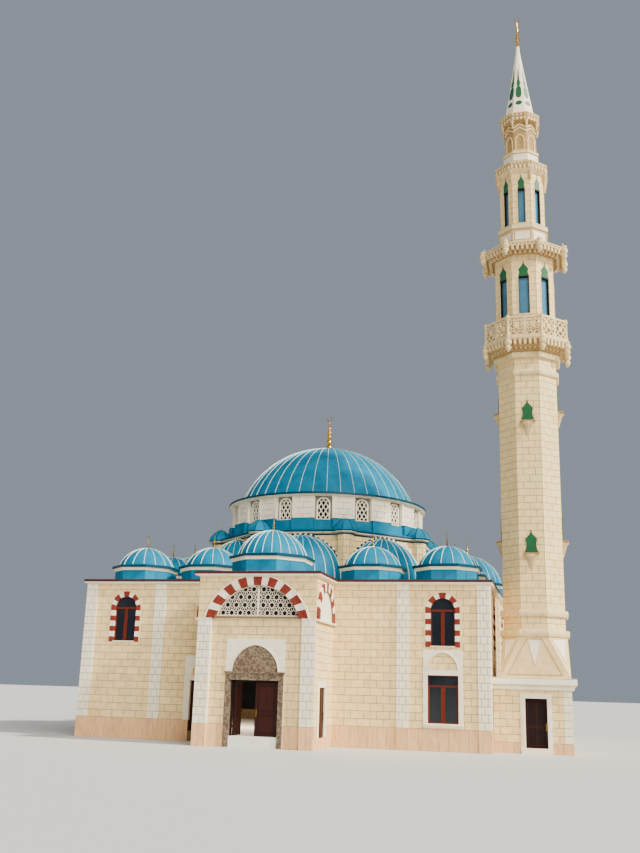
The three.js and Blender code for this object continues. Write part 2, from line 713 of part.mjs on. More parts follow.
function upperCanopy() {
  return octagonal([[0, UPPER.top], [1140, UPPER.top], [1290, 28960], [1310, 29180], [1310, 29373],
    [900, 29640], [860, 29693], [860, 30082], [910, 30110], [910, 30277], [0, 30277]], ...at);
}

function minaretNeck() {
  return octagonal([[0, 30277], [776, 30277], [776, 31960], [990, 32080], [1005, 32226],
    [1005, 32466], [760, 32560], [750, CONE.base], [0, CONE.base]], ...at);
}

function minaretCone() {
  const { base, tip, apothem } = CONE;
  const height = tip - base;
  return octagonal([[0, base], [apothem, base], [apothem * 0.7, base + height * 0.32],
    [apothem * 0.4, base + height * 0.66], [90, tip], [0, tip]], ...at);
}

function minaretFinial() {
  const beads = [[90, 0], [120, 120], [60, 420], [110, 520], [60, 640], [170, 860], [170, 960],
    [60, 1120], [110, 1250], [50, 1360], [80, 1500], [30, 1620], [30, 1700], [0, TOP_Z - CONE.tip]];
  return finial(CONE.tip, beads, ...at, 10);
}

// Doors

const doorFace = portalRecess + FRAME_SET;

function mainDoorFrame() {
  const { halfWidth, top } = MAIN_DOOR;
  const back = doorFace + FRAME_DEPTH;
  const clear = halfWidth - FRAME;
  return cut(
    box(-halfWidth, halfWidth, doorFace, back, FLOOR, top),
    box(-clear, clear, doorFace - 10, back + 10, 0, top - FRAME),
  );
}

// A leaf hung on the inner corner at hinge, with barrel hinges about that corner.
function doorLeaf(hinge, far, back, z0, z1) {
  const { radius, height, count } = KNUCKLE;
  let leaf = box(Math.min(hinge, far), Math.max(hinge, far), back - LEAF.thickness, back, z0, z1);
  for (let i = 0; i < count; i += 1) {
    const low = z0 + ((i + 0.5) * (z1 - z0)) / count - height / 2;
    const high = low + height;
    leaf = leaf.add(turned([[0, low], [radius, low], [radius, high], [0, high]], 12, 0, hinge, back));
  }
  return leaf;
}

const hingeX = MAIN_DOOR.halfWidth - FRAME - LEAF.gap;
const hingeY = doorFace + FRAME_DEPTH;
const leafFoot = FLOOR + LEAF.floorGap;
const leafHead = MAIN_DOOR.top - FRAME - LEAF.gap;

// The left leaf stands open, swung a quarter turn inwards about its own hinge.
function mainDoorLeft() {
  return doorLeaf(-hingeX, -LEAF.gap / 2, hingeY, leafFoot, leafHead)
    .translate([hingeX, -hingeY, 0])
    .rotate([0, 0, 90])
    .translate([-hingeX, hingeY, 0]);
}

function mainDoorRight() {
  return doorLeaf(hingeX, LEAF.gap / 2, hingeY, leafFoot, leafHead);
}

function minaretDoorLeaf() {
  const { x, y, baseHalf, wall } = MINARET;
  const { halfWidth, floor, top } = MINARET_DOOR;
  const reach = halfWidth - LEAF.gap;
  return doorLeaf(x - reach, x + reach, y - baseHalf + wall, floor + LEAF.floorGap, top - LEAF.gap);
}

// Panes: one sheet on the inner face of each wall closes all its windows.

function frontPane(x0, x1, z0) {
  return box(x0, x1, frontInner, frontInner + PANE, z0, GLAZING.top);
}

function sidePane(side) {
  const inner = side * (HALL.halfWidth - WALL);
  const outer = inner - side * PANE;
  const reach = SIDE_BAY + GLAZING.reach;
  return box(Math.min(inner, outer), Math.max(inner, outer), -reach, reach, GLAZING.low, GLAZING.top);
}

// A closed pair of door leaves set in an opening, as one fixed panel.
function fixedDoor(x0, x1, y0, y1, top) {
  return box(x0, x1, y0, y1, FLOOR, top);
}

function build() {
  const sideLabels = [[-1, "left"], [1, "right"]];
  const { x, y, baseHalf, baseTop, wall } = MINARET;
  const { cladding, trim, copper, gold, brick, wood, glass, skyGlass } = FINISH;

  addPart("floor_slab", join(
    box(-HALL.halfWidth + WALL, HALL.halfWidth - WALL, frontInner, -frontInner, 0, FLOOR),
    box(-portalInner, portalInner, portalBack, frontInner, 0, FLOOR),
    box(-MAIN_DOOR.halfWidth, MAIN_DOOR.halfWidth, portalRecess, portalBack, 0, FLOOR),
  ), trim);

  addPart("front_wall_left", frontWallLeft(), cladding);
  addPart("front_wall_right", frontWallRight(), cladding);
  sideLabels.forEach(([side, label]) => addSideWalls(side, label));
  addRearWalls();

  addPart("portal_pier_left", portalPier(-1), cladding);
  addPart("portal_pier_right", portalPier(1), cladding);
  addPart("portal_head", portalHead(), cladding);
  sideLabels.forEach(([side, label]) => addPart(`portal_wall_${label}`, portalSideWall(side), cladding));
  addPart("portal_arch", archRing(PORTAL_ARCH, PORTAL.front - PORTAL_ARCH.proud, PORTAL.front), brick);
  addPart("portal_lattice", portalLattice(), trim);

  addPart("roof_slab", roofSlab(), cladding);
  addPart("octagon_tier", octagonTier(), cladding);
  addPart("tier_roof", tierRoof(), copper);
  addPart("semi_domes", semiDomes(), copper);
  addPart("drum", drumWall(), cladding);
  addPart("drum_glass", drumGlass(), glass);
  addPart("dome_eave", domeEave(), trim);
  addPart("main_dome", mainDome(), copper);
  addPart("main_finial", finial(DOME.centre + DOME.radius, [[120, 0], [190, 150], [190, 260], [90, 400],
    [150, 520], [150, 620], [70, 740], [120, 860], [60, 980], [100, 1100], [40, 1220], [40, 1600],
    [0, 2150]]), gold);
  domeRows().forEach(({ name, domes }) => addPart(name, domeRow(domes), copper));

  addPart("minaret_base", minaretBaseShell(), cladding);
  const { halfWidth, floor, top } = MINARET_DOOR;
  addPart("minaret_front_left", minaretFrontWall(HALL.halfWidth, x - halfWidth, 0, baseTop), cladding);
  addPart("minaret_front_right", minaretFrontWall(x + halfWidth, x + baseHalf, 0, baseTop), cladding);
  addPart("minaret_front_head", minaretFrontWall(x - halfWidth, x + halfWidth, top, baseTop), cladding);
  addPart("minaret_transition", minaretTransition(), cladding);
  addPart("minaret_shaft", minaretShaft(), cladding);
  addPart("balcony", balcony(), cladding);
  addPart("balcony_parapet", parapet(), trim);
  addPart("lower_lantern", lanternRoom(LANTERN), cladding);
  addPart("lower_lantern_glass", lanternGlass(LANTERN), skyGlass);
  addPart("lower_canopy", lowerCanopy(), trim);
  addPart("upper_lantern", lanternRoom(UPPER), cladding);
  addPart("upper_lantern_glass", lanternGlass(UPPER), skyGlass);
  addPart("upper_canopy", upperCanopy(), trim);
  addPart("minaret_neck", minaretNeck(), trim);
  addPart("minaret_cone", minaretCone(), trim);
  addPart("minaret_finial", minaretFinial(), gold);

  addPart("main_door_frame", mainDoorFrame(), wood);
  addPart("main_door_left", mainDoorLeft(), wood);
  addPart("main_door_right", mainDoorRight(), wood);
  addPart("minaret_door", minaretDoorLeaf(), wood);
  const { wing, side: sideSet, thickness } = PANEL_SET;
  addPart("wing_door", fixedDoor(WING_DOOR.left, WING_DOOR.right, frontFace + wing,
    frontFace + wing + thickness, WING_DOOR.top), wood);
  const sideFace = PORTAL.halfWidth - sideSet;
  addPart("portal_side_door", fixedDoor(sideFace - thickness, sideFace, SIDE_DOOR.front,
    SIDE_DOOR.back, SIDE_DOOR.top), wood);

  addPart("front_glass_left", frontPane(-FRONT_WINDOW_X - 700, -FRONT_WINDOW_X + 700,
    GLAZING.lowUpper), glass);
  addPart("front_glass_right", frontPane(FRONT_WINDOW_X - 850, FRONT_WINDOW_X + 850,
    GLAZING.low), glass);
  sideLabels.forEach(([side, label]) => addPart(`${label}_glass`, sidePane(side), glass));
  const rearReach = FRONT_WINDOW_X + GLAZING.reach;
  addPart("rear_glass", box(-rearReach, rearReach, -frontInner - PANE, -frontInner, GLAZING.low,
    GLAZING.top), glass);
}

build();

export default mosque;
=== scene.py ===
"""Looks of a domed mosque with a minaret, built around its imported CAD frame.

Each class holds the sizes of one sub-assembly in metres, in the frame's own axes: the origin
lies under the main dome on the lowest ground, -Y is the entrance front and +Z is up.
"""

import json
import logging
import math
import random
from collections.abc import Callable, Iterable, Sequence
from dataclasses import dataclass
from enum import Enum

import bpy
from mathutils import Matrix, Vector

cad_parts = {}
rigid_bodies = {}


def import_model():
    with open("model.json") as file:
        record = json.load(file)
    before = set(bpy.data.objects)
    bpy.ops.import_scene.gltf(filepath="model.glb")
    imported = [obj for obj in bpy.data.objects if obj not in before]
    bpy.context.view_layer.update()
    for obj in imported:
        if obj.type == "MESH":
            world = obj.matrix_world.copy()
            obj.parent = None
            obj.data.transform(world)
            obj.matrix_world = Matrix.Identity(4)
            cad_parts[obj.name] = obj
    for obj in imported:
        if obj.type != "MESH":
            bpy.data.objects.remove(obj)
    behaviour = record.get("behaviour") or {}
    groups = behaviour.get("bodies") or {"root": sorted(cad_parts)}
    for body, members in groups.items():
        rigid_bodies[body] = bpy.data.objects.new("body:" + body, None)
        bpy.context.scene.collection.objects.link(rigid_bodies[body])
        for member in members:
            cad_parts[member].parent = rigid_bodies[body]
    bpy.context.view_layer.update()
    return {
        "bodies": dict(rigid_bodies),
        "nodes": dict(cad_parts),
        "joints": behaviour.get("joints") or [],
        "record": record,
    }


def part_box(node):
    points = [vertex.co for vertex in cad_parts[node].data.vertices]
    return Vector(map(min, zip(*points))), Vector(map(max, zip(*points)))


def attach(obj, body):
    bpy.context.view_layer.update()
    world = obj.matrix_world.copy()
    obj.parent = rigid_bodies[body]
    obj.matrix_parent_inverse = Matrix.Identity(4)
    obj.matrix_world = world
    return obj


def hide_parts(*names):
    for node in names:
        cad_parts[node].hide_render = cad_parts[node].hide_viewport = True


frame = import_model()

Point = tuple[float, float, float]
Flat = tuple[float, float]

BUILDING = "building"
EIGHTH = 45.0
HALF_EIGHTH = EIGHTH / 2
TO_CORNER = 1 / math.cos(math.radians(HALF_EIGHTH))
HALF_SIDE = math.tan(math.radians(HALF_EIGHTH))

# Outlines of less than this many square metres are dropped.
SLIVER = 1e-4
# Points nearer than this to the axis count as lying on it.
ON_AXIS = 1e-6
# Faces that meet at less than this many degrees are shaded as one round face.
ROUND_BELOW = 32.0
# How far the tones of single stones spread about 0, and the most that they do.
TONE_SPREAD = 0.6
TONE_LIMIT = 1.5


# Finishes


class Pattern(Enum):
    """How a finish's two colours mix over the surface."""

    CLOUD = "soft clouds, as in honed or cast stone"
    VEIN = "thin branching veins, as in marble"
    BED = "stretched beds, as in travertine"
    GRAIN = "long grain, as in sawn wood"
    SHEET = "slow waves, as in coated sheet"


# How much finer a pattern is across than along its long axis.
STRETCH = {Pattern.GRAIN: 0.06, Pattern.BED: 0.15}
# How much rougher a surface is where it shows its second colour.
DULLED = 0.12


@dataclass(frozen=True)
class Finish:
    """One real material and how its surface was made.

    Args:
        name: the material's name.
        slot: the record's material slot that it belongs to; not used.
        light: sRGB hex of the main colour.
        dark: sRGB hex of the second colour.
        pattern: how the two mix.
        size_mm: size of the pattern's features.
        roughness: of the clean surface.
        metallic: 1 for bare metal.
        relief_mm: depth of the fine relief.
        spread: how much single stones differ in lightness.
        coat: weight of a clear coat.
        long_axis: the axis along which grain and beds run.
        specular: strength of the mirror-like part.
    """

    name: str
    slot: str
    light: str
    dark: str
    pattern: Pattern
    size_mm: float
    roughness: float
    metallic: float = 0.0
    relief_mm: float = 0.0
    spread: float = 0.0
    coat: float = 0.0
    long_axis: int = 2
    specular: float = 0.5

    def make(self) -> bpy.types.Material:
        """Builds the material once and returns it.

        Returns:
            The Blender material of this name.
        """
        known = bpy.data.materials.get(self.name)
        if known:
            return known
        material = bpy.data.materials.new(self.name)
        material.use_nodes = True
        tree = material.node_tree
        shader = tree.nodes["Principled BSDF"]
        place = add_node(tree, "ShaderNodeTexCoord").outputs["Object"]
        mask = self._mask(tree, place)
        colour = add_node(
            tree, "ShaderNodeMix", data_type="RGBA",
            inputs={0: mask, 6: linear(self.light), 7: linear(self.dark)},
        ).outputs[2]
        if self.spread:
            colour = self._vary(tree, colour)
        tree.links.new(colour, shader.inputs["Base Color"])
        shader.inputs["Metallic"].default_value = self.metallic
        shader.inputs["Coat Weight"].default_value = self.coat
        shader.inputs["Specular IOR Level"].default_value = self.specular
        worn = add_node(
            tree, "ShaderNodeMapRange",
            inputs={"Value": mask, "To Min": self.roughness, "To Max": min(1.0, self.roughness + DULLED)},
        ).outputs[0]
        tree.links.new(worn, shader.inputs["Roughness"])
        if self.relief_mm:
            tree.links.new(self._relief(tree, place), shader.inputs["Normal"])
        return material

    def _mask(self, tree: bpy.types.NodeTree, place: bpy.types.NodeSocket) -> bpy.types.NodeSocket:
        """Returns the 0 to 1 mix of the two colours.

        Args:
            tree: the node tree.
            place: a point on the surface.

        Returns:
            The mix.
        """
        size = self.size_mm / 1000
        scale = [1.0, 1.0, 1.0]
        scale[self.long_axis] = STRETCH.get(self.pattern, 1.0)
        mapped = add_node(
            tree, "ShaderNodeMapping", inputs={"Vector": place, "Scale": tuple(scale)}
        ).outputs[0]
        noise = add_node(
            tree, "ShaderNodeTexNoise",
            inputs={"Vector": mapped, "Scale": 1 / size, "Detail": 5.0, "Roughness": 0.6},
        )
        value = noise.outputs[0]
        low, high = 0.38, 0.66
        if self.pattern is Pattern.VEIN:
            ridge = add_node(
                tree, "ShaderNodeMath", operation="SUBTRACT", inputs={0: value, 1: 0.5}
            ).outputs[0]
            value = add_node(tree, "ShaderNodeMath", operation="ABSOLUTE", inputs={0: ridge}).outputs[0]
            low, high = 0.0, 0.05
        return add_node(
            tree, "ShaderNodeMapRange", inputs={"Value": value, "From Min": low, "From Max": high}
        ).outputs[0]

    def _vary(self, tree: bpy.types.NodeTree, colour: bpy.types.NodeSocket) -> bpy.types.NodeSocket:
        """Returns the colour, lighter or darker by each stone's own tone.

        Args:
            tree: the node tree.
            colour: the colour before.

        Returns:
            The colour after.
        """
        tone = add_node(tree, "ShaderNodeAttribute", attribute_name="tone").outputs["Fac"]
        factor = add_node(
            tree, "ShaderNodeMath", operation="MULTIPLY_ADD", inputs={0: tone, 1: self.spread, 2: 1.0}
        ).outputs[0]
        return add_node(
            tree, "ShaderNodeVectorMath", operation="SCALE", inputs={0: colour, "Scale": factor}
        ).outputs[0]

    def _relief(self, tree: bpy.types.NodeTree, place: bpy.types.NodeSocket) -> bpy.types.NodeSocket:
        """Returns the bumped normal.

        Args:
            tree: the node tree.
            place: a point on the surface.

        Returns:
            The normal.
        """
        fine = self.size_mm / 1000
        if self.pattern is not Pattern.SHEET:
            fine /= 6
        grit = add_node(
            tree, "ShaderNodeTexNoise", inputs={"Vector": place, "Scale": 1 / fine, "Detail": 4.0}
        ).outputs[0]
        return add_node(
            tree, "ShaderNodeBump",
            inputs={"Height": grit, "Distance": self.relief_mm / 1000, "Strength": 0.6},
        ).outputs[0]


def linear(code: str) -> tuple[float, float, float, float]:
    """Turns an sRGB hex code into a linear colour.

    Args:
        code: six hexadecimal digits.

    Returns:
        Red, green, blue and an alpha of 1.
    """
    parts = [int(code[i:i + 2], 16) / 255 for i in (0, 2, 4)]
    red, green, blue = [c / 12.92 if c <= 0.04045 else ((c + 0.055) / 1.055) ** 2.4 for c in parts]
    return (red, green, blue, 1.0)


def add_node(
    tree: bpy.types.NodeTree, kind: str, inputs: dict | None = None, **settings: object
) -> bpy.types.Node:
    """Adds a node with its settings; an input that is a socket is linked, any other is set.

    Args:
        tree: the node tree.
        kind: the node's type.
        inputs: values or sockets by input name or number.
        settings: the node's own properties.

    Returns:
        The new node.
    """
    made = tree.nodes.new(kind)
    for key, value in settings.items():
        setattr(made, key, value)
    for key, value in (inputs or {}).items():
        if isinstance(value, bpy.types.NodeSocket):
            tree.links.new(value, made.inputs[key])
        else:
            made.inputs[key].default_value = value
    return made


# Honed limestone slabs: matt, warm cream, each stone a shade of its own.
LIMESTONE = Finish("honed_limestone", "cladding", "EDD297", "E2C081", Pattern.CLOUD, 260, 0.78,
                   relief_mm=1.2, spread=0.07)
# Sand-lime mortar, recessed: darker and dead matt, so that the joints read as lines.
MORTAR = Finish("recessed_mortar", "cladding", "7C6747", "68543A", Pattern.CLOUD, 120, 0.95,
                relief_mm=2.0)
# White cast stone of pilasters, surrounds and bands: smoother and cooler than the slabs.
CAST_STONE = Finish("white_cast_stone", "pale_stone", "F3E8CF", "E7DABD", Pattern.CLOUD, 400, 0.68,
                    relief_mm=0.6, spread=0.04)
# Carved stone of the minaret's trim: ivory in soft clouds; the shade in its hollows is painted by the ochre
# ground behind it.
CARVED_STONE = Finish("carved_ivory_stone", "pale_stone", "E1C997", "CCB07B", Pattern.CLOUD, 180, 0.74,
                      relief_mm=1.0, spread=0.04)
# Ochre ground behind the carving: painted shade, a darker gold that gives the relief its shaded golden
# hollows; the same ochre colours the gilded lines under the niches.
OCHRE_AND_PAINTED_SHADE = Finish("ochre_and_painted_shade", "pale_stone", "AF8E58", "957544", Pattern.CLOUD, 90, 0.8,
                      relief_mm=1.0)
# Smooth panels at the minaret's foot: the same limestone sawn, a sunnier yellow.
SUNNY_STONE = Finish("sawn_yellow_limestone", "cladding", "E6C893", "DAB981", Pattern.CLOUD, 320, 0.74,
                     relief_mm=0.6)
# Cut travertine of the foot: pinkish, with long soft beds.
TRAVERTINE = Finish("cut_travertine", "cladding", "E4B884", "CF9D69", Pattern.BED, 90, 0.6,
                    relief_mm=0.8, spread=0.06)
# Coated steel sheet of the roofs: turquoise, semi-gloss, with the slow waves of thin sheet.
ROOF_SHEET = Finish("turquoise_coated_sheet", "roof_metal", "007393", "00617E", Pattern.SHEET, 900, 0.5,
                    relief_mm=4.0, specular=0.1)
# Folded edge trim in a darker teal coat.
EDGE_TRIM = Finish("teal_edge_trim", "roof_metal", "003C4E", "003040", Pattern.SHEET, 700, 0.45,
                   specular=0.2)
# Standing seams capped with a pale coated strip.
SEAM_CAP = Finish("pale_seam_cap", "roof_metal", "CFE3D8", "B8D2C8", Pattern.SHEET, 500, 0.42)
# Gilt brass: bright warm metal with a little tarnish.
GILT = Finish("gilt_brass", "gilt", "D9AE4A", "A9792A", Pattern.CLOUD, 60, 0.22, metallic=1.0)
# Red facing stone of the voussoirs: matt brick red.
RED_STONE = Finish("red_facing_stone", "red_stone", "7C200D", "661908", Pattern.CLOUD, 90, 0.8,
                   relief_mm=0.8, spread=0.06)
# Painted sheet fascia in oxide red.
FASCIA = Finish("oxide_red_fascia", "red_stone", "400B0C", "320808", Pattern.SHEET, 600, 0.45)
# Stained mahogany joinery with long grain, its varnish dulled by the sun.
MAHOGANY = Finish("stained_mahogany", "dark_wood", "66200A", "501606", Pattern.GRAIN, 14, 0.48,
                  relief_mm=0.4, specular=0.25)
# Darker walnut stain of the door leaves.
DARK_LEAF = Finish("dark_stained_leaf", "dark_wood", "1F0A07", "140604", Pattern.GRAIN, 16, 0.5,
                   relief_mm=0.4, specular=0.2)
# The same stain, thinner on the stiles and rails, where it wears to red-brown.
WORN_LEAF = Finish("worn_leaf_frame", "dark_wood", "38120B", "290C07", Pattern.GRAIN, 16, 0.5,
                   relief_mm=0.4, specular=0.2)
# Tinted float glass: near black, mirror smooth.
DARK_GLASS = Finish("tinted_float_glass", "window_glass", "11161C", "171D24", Pattern.SHEET, 1500, 0.06)
# Reflective blue glass of the lanterns.
BLUE_GLASS = Finish("blue_reflective_glass", "lantern_glass", "4A7E98", "3B6C86", Pattern.SHEET, 900, 0.08)
# Green enamelled panels of the niches and window heads.
GREEN_PANEL = Finish("green_enamel", "lantern_glass", "04582B", "024622", Pattern.SHEET, 300, 0.3, coat=0.3)
# Polished beige-brown marble with dark veins.
MARBLE = Finish("beige_brown_marble", "pale_stone", "957F63", "5A4837", Pattern.VEIN, 260, 0.3, coat=0.15)
# Flat sheet roofing behind the cornice, pale grey.
ROOF_DECK = Finish("pale_roof_deck", "cladding", "C9C6BE", "B9B6AD", Pattern.CLOUD, 800, 0.85)
# Painted plaster of the inside walls and floor.
PLASTER = Finish("matt_plaster", "pale_stone", "E9E4D8", "DED8CA", Pattern.CLOUD, 600, 0.9)
# Painted shade: a flat grey on the backs of the drum's recessed window bays, standing in for their shade; it
# sets the white screens off.
BAY_SHADE_GREY = Finish("bay_recess_painted_shade", "cladding", "7C7870", "6E6A62", Pattern.CLOUD, 240, 0.9)


# Geometry


@dataclass(frozen=True)
class Facet:
    """A flat face; points on it are (along, height, out), along runs right as seen from outside.

    Args:
        x: where along is 0.
        y: where along is 0.
        bearing: degrees of the outward normal from +X.
        lean: degrees that the face leans back.
        foot: height at which it starts to lean.
    """

    x: float
    y: float
    bearing: float
    lean: float = 0.0
    foot: float = 0.0

    def point(self, along: float, height: float, out: float = 0.0) -> Point:
        """Returns the point in the frame's axes.

        Args:
            along: to the right, as seen from outside.
            height: height, measured along a leaning face.
            out: in front of the face.

        Returns:
            The point.
        """
        turn, back = math.radians(self.bearing), math.radians(self.lean)
        cos, sin = math.cos(turn), math.sin(turn)
        rise = height - self.foot
        reach = out * math.cos(back) - rise * math.sin(back)
        z = self.foot + rise * math.cos(back) + out * math.sin(back)
        return (self.x + cos * reach - sin * along, self.y + sin * reach + cos * along, z)

    def shifted(self, along: float, out: float = 0.0) -> "Facet":
        """Returns the same face with its own zero moved."""
        x, y, _ = Facet(self.x, self.y, self.bearing).point(along, 0.0, out)
        return Facet(x, y, self.bearing, self.lean, self.foot)


def octagon_facets(x: float, y: float, apothem: float) -> list[Facet]:
    """Returns the eight faces of an upright octagon, the front one first, then to the right.

    Args:
        x: of its axis.
        y: of its axis.
        apothem: from its axis to a face.

    Returns:
        The faces.
    """
    facets = []
    for i in range(8):
        bearing = -90.0 + EIGHTH * i
        angle = math.radians(bearing)
        facets.append(Facet(x + apothem * math.cos(angle), y + apothem * math.sin(angle), bearing))
    return facets


def arc(centre: Flat, radius: float, start: float, end: float, steps: int) -> list[Flat]:
    """Returns points on an arc, with angles in degrees."""
    angles = [math.radians(start + (end - start) * i / steps) for i in range(steps + 1)]
    return [(centre[0] + radius * math.cos(a), centre[1] + radius * math.sin(a)) for a in angles]


def pointed_arch(half: float, foot: float, apex: float, steps: int) -> list[Flat]:
    """Returns a two-centred arch from its right foot over the apex to its left foot.

    Args:
        half: half its width.
        foot: height of its feet.
        apex: height of its tip.
        steps: straight pieces of each half.

    Returns:
        The line of the arch.
    """
    rise = apex - foot
    shift = (rise**2 - half**2) / (2 * half)
    radius = half + shift
    peak = math.degrees(math.asin(rise / radius))
    right = arc((-shift, foot), radius, 0.0, peak, steps)
    return right + [(-x, z) for x, z in reversed(right[:-1])]


def clip(outline: Sequence[Flat], a: Flat, b: Flat, keep_left: bool) -> list[Flat]:
    """Cuts a convex outline by the line from a to b and keeps one side.

    Args:
        outline: the outline that is cut.
        a: one point of the line.
        b: another point of the line.
        keep_left: whether the part left of the line stays.

    Returns:
        The part that stays.
    """
    side = 1.0 if keep_left else -1.0

    def height(p: Flat) -> float:
        """Returns how far a point lies on the kept side."""
        return side * ((b[0] - a[0]) * (p[1] - a[1]) - (b[1] - a[1]) * (p[0] - a[0]))

    kept: list[Flat] = []
    for i, p in enumerate(outline):
        q = outline[(i + 1) % len(outline)]
        hp, hq = height(p), height(q)
        if hp >= 0:
            kept.append(p)
        if hp * hq < 0:
            t = hp / (hp - hq)
            kept.append((p[0] + (q[0] - p[0]) * t, p[1] + (q[1] - p[1]) * t))
    return kept


def area(outline: Sequence[Flat]) -> float:
    """Returns the area of an outline that runs counter-clockwise.

    Args:
        outline: the outline.

    Returns:
        Square metres, or less than 0 where it runs clockwise.
    """
    total = 0.0
    for i, (x0, y0) in enumerate(outline):
        x1, y1 = outline[(i + 1) % len(outline)]
        total += x0 * y1 - x1 * y0
    return total / 2


def cut_out(outline: list[Flat], hole: Sequence[Flat]) -> list[list[Flat]]:
    """Takes a convex hole out of a convex outline.

    Args:
        outline: the outline that is cut.
        hole: what is taken out of it.

    Returns:
        The convex pieces that are left.
    """
    pieces = []
    rest = outline
    for i, a in enumerate(hole):
        b = hole[(i + 1) % len(hole)]
        outside = clip(rest, a, b, keep_left=False)
        if len(outside) > 2 and area(outside) > SLIVER:
            pieces.append(outside)
        rest = clip(rest, a, b, keep_left=True)
        if len(rest) < 3 or area(rest) < SLIVER:
            return pieces
    return pieces


def clip_to(outline: list[Flat], limits: Sequence[Flat]) -> list[Flat]:
    """Cuts a convex outline to what lies inside a convex counter-clockwise one.

    Args:
        outline: the outline that is cut.
        limits: the outline that it is cut to.

    Returns:
        The part inside, or an empty list where next to nothing is left.
    """
    for i, a in enumerate(limits):
        outline = clip(outline, a, limits[(i + 1) % len(limits)], keep_left=True)
        if len(outline) < 3:
            return []
    return outline if area(outline) > SLIVER else []


def rectangle(u0: float, u1: float, z0: float, z1: float) -> list[Flat]:
    """Returns the outline of a rectangle, counter-clockwise."""
    return [(u0, z0), (u1, z0), (u1, z1), (u0, z1)]


def ends_on(side: int, near: float, far: float) -> Flat:
    """Returns two ends left (-1) or right (1) of the middle, from left to right."""
    return (near, far) if side > 0 else (-far, -near)


def show(name: str, data: bpy.types.ID) -> bpy.types.Object:
    """Puts a mesh, a light or a camera into the scene.

    Args:
        name: the object's name.
        data: what it shows.

    Returns:
        The new object.
    """
    made = bpy.data.objects.new(name, data)
    bpy.context.scene.collection.objects.link(made)
    return made


